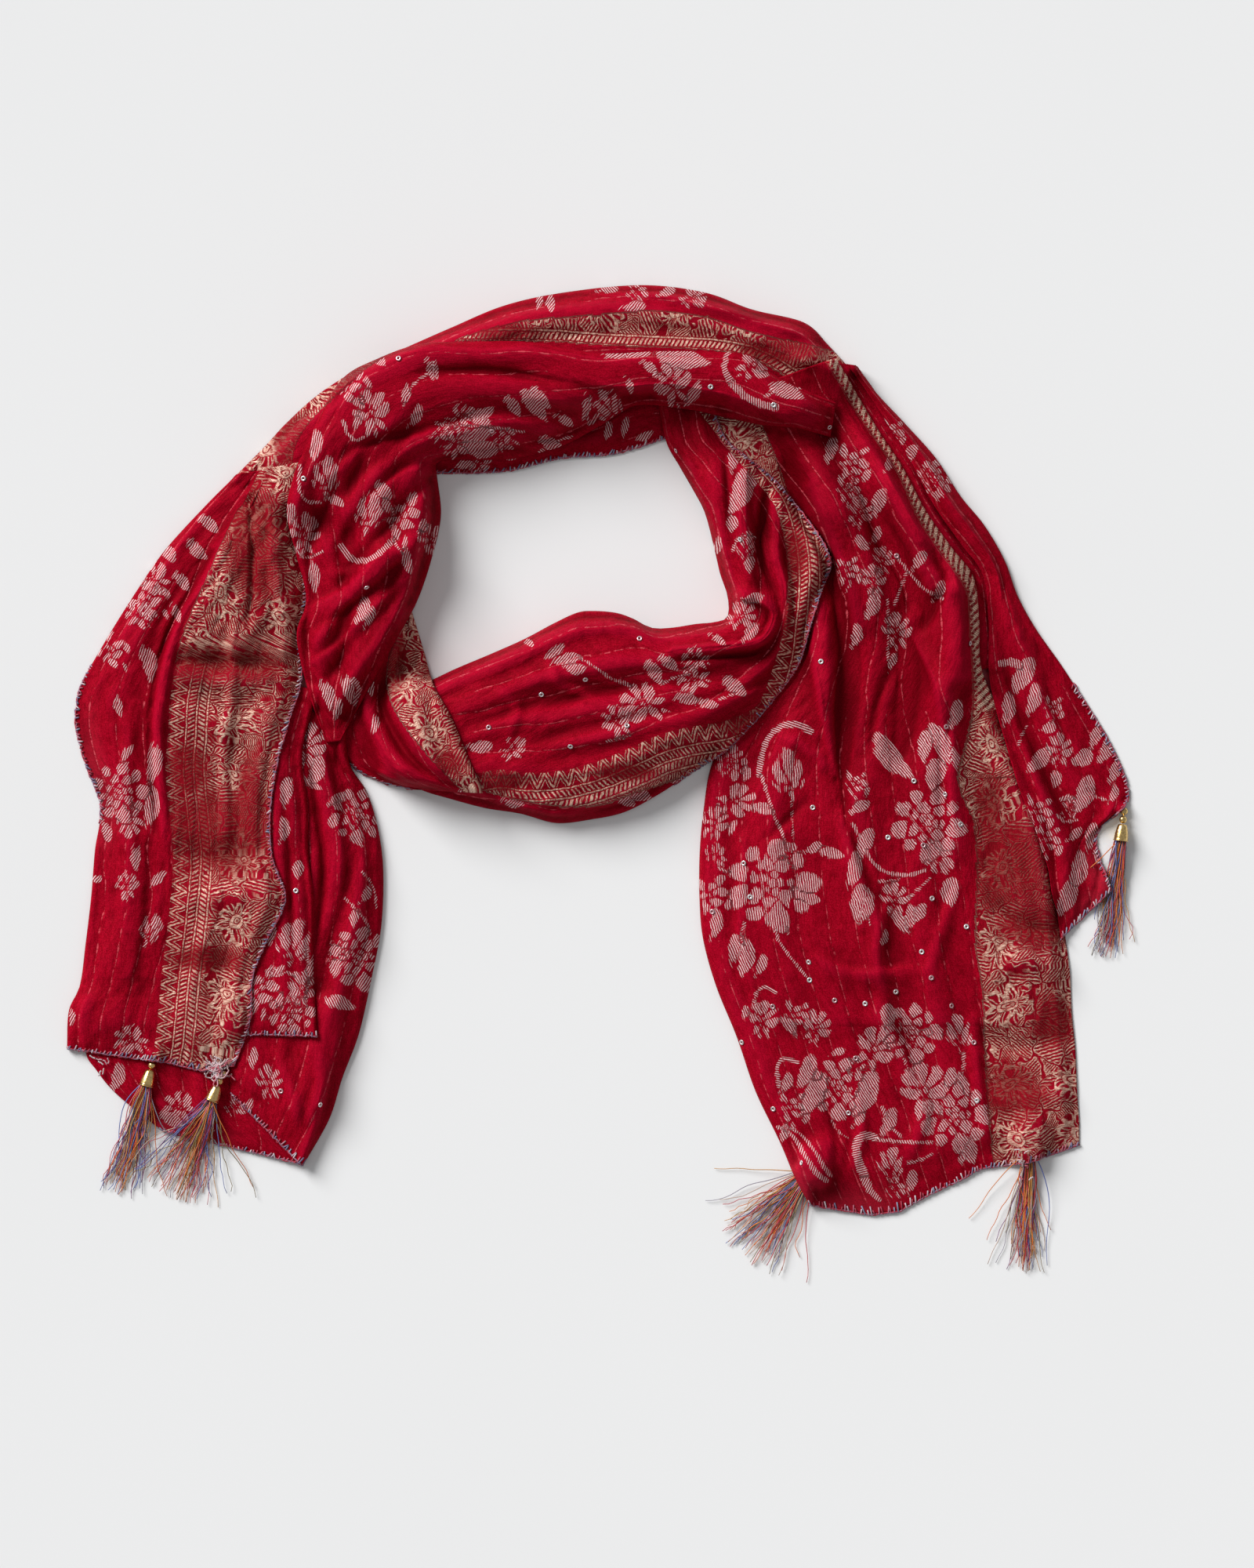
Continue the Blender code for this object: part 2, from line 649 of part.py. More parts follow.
def lay_cloth(ground, name, sections, folds, row_count, column_count, material, waves=()):
    """One stretch of cloth as a thin wall, draped on what lies there, with its folds."""
    rows = even_rows(sections, row_count)
    shares = across_shares(column_count, 0.6)
    plan = plan_grid(sections, rows, shares)
    if waves:
        plan = hem_shift(plan, shares, waves)
    width = np.linalg.norm(plan[:, -1] - plan[:, 0], axis=1)[:, None]
    from_edge = np.minimum(shares, 1 - shares)[None, :] * width
    middle = np.clip(from_edge / EDGE_REACH, 0, 1)
    middle = middle * middle * (3 - 2 * middle)
    touching = ground.touching()
    cell = ground.cell(plan)
    local = touching[cell]
    draped = ground.draped()[cell]
    under = local + (draped - local) * middle
    under = under + np.where(local > 0, GAP, 0)
    under = under + fold_heights(plan, sections, folds, LEAST_FOLD_WIDTH) * (0.35 + 0.65 * middle)
    floor = np.where(local > 0, local + GAP, 0)
    under = np.maximum(under, floor)
    weights = triangle_samples(20)
    under = clear_of(touching, ground, plan, under, weights)
    along_step = np.linalg.norm(np.gradient(plan, axis=0), axis=2)
    across_step = np.linalg.norm(np.gradient(plan, axis=1), axis=2)
    slope = np.hypot(np.gradient(under, axis=0) / along_step, np.gradient(under, axis=1) / across_step)
    top = under + np.minimum(WALL * np.sqrt(1 + slope ** 2), WALL * STEEPEST_WALL)
    points = np.concatenate([np.dstack([plan, top]).reshape(-1, 3), np.dstack([plan, under]).reshape(-1, 3)])
    faces = grid_faces(row_count, column_count, is_clockwise(plan))
    record_on(ground, plan, top, weights)
    return make_solid(name, points, faces, material)


def lay_round(ground, centre, radius):
    """Mark a ball of this radius on the height map."""
    reach = np.linspace(-radius, radius, 25)
    x, y = np.meshgrid(reach, reach)
    inside = x * x + y * y <= radius * radius
    offset = np.stack([x[inside], y[inside]], axis=1)
    z = centre[2] + np.sqrt(np.clip(radius ** 2 - (offset ** 2).sum(axis=1), 0, None))
    ground.raise_to(offset + np.asarray(centre[:2]), z)


def turned(profile, sides, origin, forward):
    """A closed turned solid along a level axis: profile rows are (distance along, radius)."""
    side = np.array([-forward[1], forward[0], 0.0])
    up = np.array([0.0, 0.0, 1.0])
    points = [origin + forward * profile[0][0]]
    for along, radius in profile[1:-1]:
        for k in range(sides):
            angle = 2 * math.pi * (k + 0.5) / sides
            points.append(origin + forward * along + radius * (side * math.cos(angle) + up * math.sin(angle)))
    points.append(origin + forward * profile[-1][0])
    rings = len(profile) - 2
    last = len(points) - 1
    faces = []
    for k in range(sides):
        n = (k + 1) % sides
        faces.append((0, 1 + n, 1 + k))
        for r in range(rings - 1):
            here = 1 + r * sides
            there = here + sides
            faces.append((here + k, here + n, there + n, there + k))
        tail = 1 + (rings - 1) * sides
        faces.append((tail + k, tail + n, last))
    return points, faces


def bead_pair(ground, name, middle, forward, material):
    """Two round beads on one stiff thread, as one turned solid."""
    half = BEAD_STEP / 2
    bulge = [math.pi * k / BEAD_STATIONS for k in range(1, BEAD_STATIONS)]
    neck = math.sqrt(BEAD_RADIUS ** 2 - BEAD_THREAD_RADIUS ** 2) - half
    profile = [(-half - BEAD_RADIUS, 0.0)]
    profile += [(-half - BEAD_RADIUS * math.cos(angle), BEAD_RADIUS * math.sin(angle)) for angle in bulge]
    profile += [(neck, BEAD_THREAD_RADIUS), (-neck, BEAD_THREAD_RADIUS)]
    profile += [(half - BEAD_RADIUS * math.cos(angle), BEAD_RADIUS * math.sin(angle)) for angle in bulge]
    profile += [(half + BEAD_RADIUS, 0.0)]
    axis = np.array([forward[0], forward[1], BEAD_TILT])
    axis = axis / np.linalg.norm(axis)
    points, faces = turned(profile, BEAD_SIDES, middle, axis)
    for end in (-half, half):
        lay_round(ground, middle + axis * end, BEAD_RADIUS)
    return make_solid(name, points, faces, material)


def bell_cap(ground, name, mouth, forward, material):
    """Bell from its tip to its mouth, with a shallow recess that takes the thread head."""
    flare = CAP_MOUTH_RADIUS - CAP_TIP_RADIUS
    recess = HEAD_RADIUS + GAP
    profile = [
        (-CAP_LENGTH, 0.0),
        (-CAP_LENGTH, CAP_TIP_RADIUS * 0.75),
        (-CAP_LENGTH * 0.90, CAP_TIP_RADIUS * 1.05),
        (-CAP_LENGTH * 0.62, CAP_TIP_RADIUS + flare * 0.62),
        (-CAP_LENGTH * 0.30, CAP_TIP_RADIUS + flare * 0.80),
        (0.0, CAP_MOUTH_RADIUS),
        (0.0, recess),
        (-HEAD_DEPTH, recess),
        (-HEAD_DEPTH, 0.0),
    ]
    points, faces = turned(profile, CAP_SIDES, mouth, forward)
    for along, radius in profile[1:6]:
        for share in np.linspace(0, 1, 6):
            lay_round(ground, mouth + forward * (along * share), min(radius, CAP_MOUTH_RADIUS))
    return make_solid(name, points, faces, material)


def strand_levels(ground, touching, root, run, reach):
    """Heights of a strand's middle line: it falls from its root onto what lies beneath it."""
    fine = np.linspace(0, 1, 20 * len(reach))
    forward = run / np.linalg.norm(run)
    beneath = touching[ground.cell(root[:2] + np.outer(fine, run[:2]) + forward[:2] * STRAND_START)]
    rest = beneath + STRAND_RADIUS * 1.25 + STRAND_CLEAR
    ends = np.interp(reach, fine, rest)
    levels = ends + np.maximum(root[2] - ends, 0) * (1 - reach) ** 2.2
    levels[0] = root[2]
    for number in range(len(reach) - 1):
        inside = (fine >= reach[number]) & (fine <= reach[number + 1])
        line = np.interp(fine[inside], reach, levels)
        levels[number + 1] += max((rest[inside] - line).max(), 0) * 2
    ground.raise_to(root[:2] + np.outer(fine, run[:2]), np.interp(fine, reach, levels) + STRAND_RADIUS * 1.25)
    return levels


def thread_bundle(ground, name, tassel, mouth, forward, material):
    """Thread head whose front is cut into triangles, each drawn out into a three-sided strand."""
    side = np.array([-forward[1], forward[0], 0.0])
    up = np.array([0.0, 0.0, 1.0])
    back = mouth + forward * (GAP - HEAD_DEPTH)
    front = back + forward * HEAD_LENGTH

    def disc_point(centre, radius, step, steps):
        angle = 2 * math.pi * step / steps
        return centre + radius * (side * math.cos(angle) + up * math.sin(angle))

    points = [back, front]
    points += [disc_point(back, HEAD_RADIUS, k, 12) for k in range(12)]
    points += [disc_point(front, HEAD_RADIUS, k, 12) for k in range(12)]
    points += [disc_point(front, HEAD_RADIUS * 0.5, k, 6) for k in range(6)]
    faces = []
    cells = []
    for k in range(12):
        n = (k + 1) % 12
        faces.append((0, 2 + n, 2 + k))
        faces.append((2 + k, 2 + n, 14 + n))
        faces.append((2 + k, 14 + n, 14 + k))
    for k in range(6):
        n = (k + 1) % 6
        inner, inner_next = 26 + k, 26 + n
        cells.append((1, inner, inner_next))
        cells.append((inner, 14 + 2 * k, 14 + 2 * k + 1))
        cells.append((inner, 14 + 2 * k + 1, inner_next))
        cells.append((inner_next, 14 + 2 * k + 1, 14 + (2 * k + 2) % 12))
    centres = [sum(points[i] for i in cell) / 3 for cell in cells]
    order = sorted(range(len(cells)), key=lambda c: (round(float((centres[c] - front) @ side), 3), c))
    reach = np.linspace(0, 1, STRAND_SEGMENTS + 1)
    touching = ground.touching()
    for slot, index in enumerate(order):
        cell = cells[index]
        centre = centres[index]
        swing = math.radians(tassel.fan) * (2 * slot / (len(cells) - 1) - 1)
        swing += 0.15 * math.radians(tassel.fan) * math.sin(5.0 * slot) / len(cells)
        length = tassel.length * (0.90 + 0.10 * math.sin(2.3 * slot + tassel.mouth_x))
        heading = forward * math.cos(swing) + side * math.sin(swing)
        levels = strand_levels(ground, touching, centre, heading * length, reach)
        turned_side = np.array([-heading[1], heading[0], 0.0])
        rings = []
        for share, level in zip(reach, levels):
            spot = centre + heading * (length * share + STRAND_START)
            ring = []
            for corner in cell:
                arm = points[corner] - centre
                arm = arm / np.linalg.norm(arm) * STRAND_RADIUS * (1.25 - 0.5 * share)
                ring.append(np.array([*spot[:2], level]) + turned_side * (arm @ side) + up * (arm @ up))
            rings.append(ring)
        previous = list(cell)
        for ring in rings:
            first = len(points)
            points += ring
            current = [first, first + 1, first + 2]
            for k in range(3):
                n = (k + 1) % 3
                faces.append((previous[k], previous[n], current[n]))
                faces.append((previous[k], current[n], current[k]))
            previous = current
        faces.append(tuple(previous))
    return make_solid(name, points, faces, material, smooth=False)


def lay_tassel(ground, tassel, brass, thread):
    heading = math.radians(tassel.heading)
    forward = np.array([math.cos(heading), math.sin(heading), 0.0])
    mouth = np.array([tassel.mouth_x, tassel.mouth_y, 0.0])
    body = mouth[None, :2] - forward[None, :2] * np.linspace(0, CAP_LENGTH, 12)[:, None]
    around = np.concatenate([body + offset for offset in ((0, 0), (3, 0), (-3, 0), (0, 3), (0, -3))])
    support = ground.touching()[ground.cell(around)].max()
    clear = GAP if support > 0 else 0.1
    mouth[2] = support + clear + CAP_MOUTH_RADIUS
    thread_bundle(ground, tassel.name + "_threads", tassel, mouth, forward, thread)
    bell_cap(ground, tassel.name + "_cap", mouth, forward, brass)
    beads_middle = mouth - forward * (CAP_LENGTH + GAP + BEAD_RADIUS + BEAD_STEP / 2)
    beads_middle[2] -= BEAD_DROP
    bead_pair(ground, tassel.name + "_beads", beads_middle, forward, brass)


def build():
    clear_scene()
    silk = make_material("silk", SILK)
    zari_silk = make_material("zari_silk", ZARI_SILK)
    inner_silk = make_material("inner_silk", INNER_SILK)
    brass = make_material("brass", BRASS)
    thread = make_material("thread", THREAD)
    by_name = {tassel.name: tassel for tassel in TASSELS}

    ground = Ground()
    lay_hidden_layers(ground, "layers_top_arc", LAYERS_TOP_ARC, 26, 6, inner_silk)
    lay_hidden_layers(ground, "layers_front_loop", LAYERS_FRONT_LOOP, 22, 6, inner_silk)
    lay_hidden_layers(ground, "layers_left_tail", LAYERS_LEFT_TAIL, 10, 6, inner_silk)
    lay_hidden_layers(ground, "layers_right_tail", LAYERS_RIGHT_TAIL, 12, 6, inner_silk)

    lay_tassel(ground, by_name["tassel_right_hem_left"], brass, thread)
    lay_tassel(ground, by_name["tassel_right_hem_right"], brass, thread)
    lay_tassel(ground, by_name["tassel_right_corner"], brass, thread)

    lay_cloth(ground, "ring_inner_hem", RING_INNER_HEM, RING_INNER_HEM_FOLDS, 14, 4, silk)
    lay_cloth(ground, "top_arc_back", TOP_ARC_BACK, TOP_ARC_BACK_FOLDS, 32, 9, silk)
    lay_cloth(ground, "right_tail_front", RIGHT_TAIL_FRONT, RIGHT_TAIL_FRONT_FOLDS, 28, 15, silk,
              waves=RIGHT_TAIL_FRONT_HEM)
    lay_cloth(ground, "right_tail_outer", RIGHT_TAIL_OUTER, RIGHT_TAIL_OUTER_FOLDS, 24, 7, silk)
    lay_cloth(ground, "front_loop", FRONT_LOOP, FRONT_LOOP_FOLDS, 36, 11, zari_silk)
    lay_cloth(ground, "loop_left_end", LOOP_LEFT_END, LOOP_LEFT_END_FOLDS, 12, 9, silk)
    lay_cloth(ground, "left_tail_back", LEFT_TAIL_BACK, LEFT_TAIL_BACK_FOLDS, 9, 10, silk)
    lay_cloth(ground, "left_tail_side", LEFT_TAIL_SIDE, LEFT_TAIL_SIDE_FOLDS, 16, 8, silk)
    lay_cloth(ground, "left_tail_middle", LEFT_TAIL_MIDDLE, LEFT_TAIL_MIDDLE_FOLDS, 15, 7, silk)
    lay_tassel(ground, by_name["tassel_left_outer"], brass, thread)
    lay_tassel(ground, by_name["tassel_left_inner"], brass, thread)
    lay_cloth(ground, "left_tail_front", LEFT_TAIL_FRONT, LEFT_TAIL_FRONT_FOLDS, 26, 13, zari_silk,
              waves=LEFT_TAIL_FRONT_HEM)
    lay_cloth(ground, "top_arc_front", TOP_ARC_FRONT, TOP_ARC_FRONT_FOLDS, 40, 11, silk)


build()
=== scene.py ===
"""Looks of a crimson silk scarf with woven gold borders, laid flat, with five tassels.

Plan positions and sizes are in millimetres, in the plan of the part: the stretches of cloth are
lofted again through the part's own sections, at a fine step, and laid in the part's own order.
"""
import math
from collections import namedtuple

import bpy
import numpy as np
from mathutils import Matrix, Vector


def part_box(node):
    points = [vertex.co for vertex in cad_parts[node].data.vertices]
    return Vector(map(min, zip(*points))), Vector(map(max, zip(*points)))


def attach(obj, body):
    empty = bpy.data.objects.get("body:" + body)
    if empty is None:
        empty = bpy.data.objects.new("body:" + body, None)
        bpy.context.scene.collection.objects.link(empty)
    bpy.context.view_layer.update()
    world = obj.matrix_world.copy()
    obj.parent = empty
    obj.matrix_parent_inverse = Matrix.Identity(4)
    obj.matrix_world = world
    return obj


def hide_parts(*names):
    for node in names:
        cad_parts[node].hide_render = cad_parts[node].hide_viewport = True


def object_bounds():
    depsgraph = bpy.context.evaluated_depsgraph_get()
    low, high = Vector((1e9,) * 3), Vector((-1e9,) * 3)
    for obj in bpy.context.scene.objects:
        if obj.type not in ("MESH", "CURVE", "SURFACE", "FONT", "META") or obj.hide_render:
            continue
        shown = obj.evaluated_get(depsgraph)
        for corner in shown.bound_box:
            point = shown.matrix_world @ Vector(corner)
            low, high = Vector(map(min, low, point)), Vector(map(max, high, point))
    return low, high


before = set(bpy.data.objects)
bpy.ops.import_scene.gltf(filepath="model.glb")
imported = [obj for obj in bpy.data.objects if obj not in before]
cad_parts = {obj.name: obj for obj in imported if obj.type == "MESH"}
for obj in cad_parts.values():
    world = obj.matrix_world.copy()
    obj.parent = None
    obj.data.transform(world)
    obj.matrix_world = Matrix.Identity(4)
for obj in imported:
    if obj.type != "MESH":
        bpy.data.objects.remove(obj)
cad_low, cad_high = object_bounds()

MM = 0.001
CENTRE = (-0.75, 1.05)    # plan point that is the origin of the part

# The photograph's scale: a place named by its pixel is turned into plan millimetres
MM_PER_PIXEL = 0.42
PIXEL_LEFT = -321.0
PIXEL_TOP = 420.0
PHOTO_WIDTH = 1600
PHOTO_HEIGHT = 2000

# Cloth, in millimetres
CELL = 0.95               # fine step of the cloth meshes
WALL = 1.6                # cloth with its give, where it lies on more cloth
HEM_WALL = 0.6            # cloth at a bare edge
GAP = 0.3
CREASE_DEPTH = 1.4        # times the heights in the creases' rows
FLANK = 5.0               # least width of a fold's flank
SOFT_TOP = 28.0           # over this height the cloth is pressed flatter,
SOFT_REACH = 4.5          # and rises no more than this
BRIDGE = 9.0              # how far the cloth spans a hollow before it sinks in
EDGE_REACH = 12.0         # distance from an edge over which the cloth comes down to rest
UNDER_STEP = 6            # cells of the top for one cell of the underside
GROUND_STEP = 0.75
GROUND_LOW = (-330.0, -320.0)
GROUND_HIGH = (330.0, 310.0)

# Unevenness of the silk, in layers: depth, grain across and along, seed
PUCKERS = ((0.40, 6.5, 10.8333, 11), (0.8, 21.0, 35.0, 12), (0.10, 2.4, 2.4, 13))
GATHERS = ((1.0, 8.5, 60.0, 21), (0.5, 4.6, 30.0, 22))
CRUMPLES = ((0.54, 17.0, 24.2857, 41), (0.30, 8.0, 8.0, 42))
SLANTED_CRUMPLES = ((0.42, 11.0, 24.4444, 43),)

# Sewing, in millimetres
QUILT_PITCH = 15.5        # between the lengthwise lines of running stitch
LEAST_PITCH = 11.0        # where lines would lie closer, every other one ends
QUILT_DRIFT = ((1.3, 24.0, 24.0, 14), (0.55, 7.0, 7.0, 15))
OVERLOCK_PITCH = 2.1
OVERLOCK_WIDTH = 2.4
CORD_STEP = 1.6           # between the points of the two cords along a hem
CORD_TINTS = ((0.42, 0.02, 0.05), (0.30, 0.14, 0.22))
SEQUIN_RADIUS = 1.5
SEQUIN_PROFILE = (        # radius and lift around the ring, in the order of its faces
    (SEQUIN_RADIUS, -0.12), (SEQUIN_RADIUS * 0.8, 0.12), (SEQUIN_RADIUS * 0.36, 0.02),
    (SEQUIN_RADIUS * 0.36, -0.18),
)
SEQUIN_TINTS = ((0.86, 0.84, 0.84), (0.70, 0.42, 0.45), (0.80, 0.70, 0.70))

# Camera and light, in metres and in millimetres of film
CAMERA_HEIGHT = 4.0
CLOTH_LEVEL = 0.012       # height at which the photograph's scale holds
SENSOR = 36.0

# Nodes that the cloth covers wholly, in the order that they are marked on the height map
HIDDEN = ("layers_top_arc", "layers_front_loop", "layers_left_tail", "layers_right_tail")

# Outside the pattern, the values that it is drawn from rest at these
NO_MOTIF = -4.0
NO_BORDER = -20.0
NO_LINE = 9.0

# The rows of a stretch. Pixels run x, y, x, y and so on; a place on the stretch is a section's
# number and a share of the way from the a edge to the b edge.
#   held, rests_on: how it lies, and on what
#   loft, gather: how far it stands off what it lies on, and the depth of its small gathers
#   sections: a_x, a_y, b_x, b_y in plan millimetres
#   folds: row_from, across_from, row_to, across_to, height, a_width, b_width (the two flanks)
#   waves: share across, and how far the hem stands out there
#   rolls: section and radius of the rolled edge, for the a edge and for the b edge
#   creases: height, left flank, right flank, pixels
#   borders: pixels where the gold starts, with the gold to their left; pixels of its far line, if
#       it has one; section and how much of the gold's first rows is turned under there
#   the three tables of patches, x, y, half_x, half_y in pixels: painted shade on the gold, painted
#       light coming through single cloth, and painted shade where folds are deep, with how deep
#   motifs: kind, x, y, turn from upright, size, way of the hatch
#   stems: width_from, width_to, pixels
BARE = ((0, 0),)
Stretch = namedtuple(
    "Stretch", "held rests_on loft gather sections"
    " folds waves rolls creases borders dull shade sheer motifs stems cell",
    defaults=[(), (), (BARE, BARE)] + [()] * 7 + [CELL])
STRETCHES = {}            # in the order they lie, from the lowest up


def stretch(name, **rows):
    STRETCHES[name] = Stretch(**rows)


RIGHT_TAIL_FRONT = (
    (70, 203, 127, 228), (67, 186, 137, 212), (76, 168, 150, 190), (87, 149, 163, 170), (96, 126, 175, 147),
    (99, 100, 189, 127), (97, 79, 201, 111), (92, 61, 204, 88), (82, 45, 205, 63), (70, 30, 215, 40),
    (60, 9, 225, 19), (56, -15, 234, -4), (54, -38, 242, -27), (54, -63, 247, -55), (56, -84, 250, -78),
    (63, -109, 253, -101), (74, -136, 254, -122), (84, -165, 256, -143), (97, -192, 257, -166),
    (105, -211, 258, -181), (113, -226, 258, -194),
)
RIGHT_TAIL_OUTER = (
    (133, 225, 139, 224), (142, 213, 149, 210), (155, 193, 164, 194), (168, 172, 181, 175),
    (180, 149, 194, 155), (194, 129, 207, 139), (206, 112, 218, 120), (209, 88, 225, 101),
    (209, 63, 235, 83), (212, 44, 249, 63), (218, 22, 263, 41), (225, -2, 275, 21), (233, -22, 284, -1),
    (237, -34, 282, -12), (241, -46, 268, -26), (243, -59, 269, -40), (246, -69, 272, -48),
    (248, -83, 275, -57),
)
FRONT_TUCKS = (16, 13, 9, 6, 4, 2)    # how much further the first sections reach under the loop
UNDERFOLD_ROWS = 9


def tucked(sections, tucks):
    """Sections with the a edge further out in the first ones."""
    moved = np.array(sections, float)
    moved[:len(tucks), 0] -= tucks
    return moved


def underfold():
    """Sections of the strip that shows between the right tail's front and its outer fold."""
    front = np.array(RIGHT_TAIL_FRONT[:UNDERFOLD_ROWS], float)
    outer = np.array(RIGHT_TAIL_OUTER[:UNDERFOLD_ROWS], float)
    inner_x = front[:, 2] * 1.06 - front[:, 0] * 0.06 - 9
    return np.column_stack([inner_x, front[:, 3] - 2, outer[:, 0] + 5, outer[:, 1]])


stretch(
    "ring_inner_hem", held="folded", rests_on=["layers_top_arc"],
    loft=0.6, gather=0.4,
    sections=(
        (-88, 182, -95, 167), (-52, 183, -52, 168), (-23, 188, -21, 175), (2, 197, 5, 177),
        (23, 205, 21, 181), (38, 205, 36, 186),
    ),
    folds=((1, 0.5, 4, 0.5, 1.5, 6, 6),),
    shade=((760, 560, 120, 16, 0.4),),
    motifs=(
        ("bloom", 612, 590, 40, 15, 50), ("leaf", 590, 592, 85, 11, 50), ("leaf", 775, 550, 15, 10, 110),
        ("leaf", 797, 545, 10, 10, 110), ("leaf", 820, 556, 70, 10, 60), ("leaf", 650, 580, 85, 11, 50),
    ),
)
stretch(
    "top_arc_back", held="folded", rests_on=["layers_top_arc", "ring_inner_hem"],
    loft=3, gather=0.9,
    sections=(
        (-195, 166, -165, 130), (-180, 181, -153, 151), (-168, 194, -140, 168), (-150, 210, -126, 178),
        (-126, 225, -109, 189), (-105, 234, -92, 195), (-80, 245, -69, 202), (-51, 257, -46, 208),
        (-19, 264, -16, 210), (23, 268, 20, 210), (57, 264, 49, 210), (82, 255, 70, 206),
        (110, 248, 90, 199), (123, 236, 102, 191), (134, 224, 110, 184),
    ),
    folds=(
        (1, 0.24, 8, 0.22, 3.5, 6, 8), (7, 0.2, 13.5, 0.24, 3.5, 6, 7), (5, 0.5, 13, 0.42, -2.5, 5, 5),
        (11.5, 0.66, 14, 0.6, -6, 7, 6),
    ),
    rolls=(((0, 4), (14, 5)), BARE),
    creases=(
        (-2.5, 3, 4, 560, 425, 650, 398, 760, 384, 850, 390, 960, 420, 1060, 446),
        (2.5, 5, 3, 600, 405, 700, 380, 820, 372, 940, 398, 1040, 432),
        (-4, 4, 4, 970, 462, 1010, 484, 1058, 500), (3, 3, 3, 1010, 456, 1040, 462, 1062, 470),
    ),
    borders=(
        (
            (585, 436, 650, 436, 712, 437, 764, 441, 850, 445, 919, 449, 970, 462, 1022, 492, 1066, 510),
            (590, 432, 625, 421, 678, 410, 760, 404, 833, 398, 902, 405, 953, 424, 1022, 438, 1070, 448),
            ((0, 15.6),),
        ),
        (
            (366, 680, 372, 640, 374, 588, 383, 558, 416, 517, 455, 488, 500, 462),
            (440, 430, 540, 500),
            ((0, 24),),
        ),
    ),
    dull=((1000, 448, 50, 14), (640, 425, 40, 10), (372, 560, 26, 40)),
    shade=((1040, 476, 34, 16, 0.7), (700, 424, 60, 8, 0.5), (900, 404, 120, 7, 0.5)),
    motifs=(
        ("leaf", 688, 384, 10, 9, 60), ("leaf", 702, 386, -10, 12, 60), ("bloom", 812, 370, 160, 14, 130),
        ("leaf", 775, 368, 80, 12, 130), ("bloom", 884, 380, 60, 18, 130), ("leaf", 850, 372, 60, 12, 130),
        ("leaf", 808, 393, 85, 14, 50), ("leaf", 1110, 500, 30, 14, 120), ("leaf", 1096, 478, 20, 10, 120),
    ),
)
stretch(
    "right_tail_underfold", held="folded", rests_on=["layers_right_tail"],
    loft=0, gather=0,
    sections=underfold(),
)
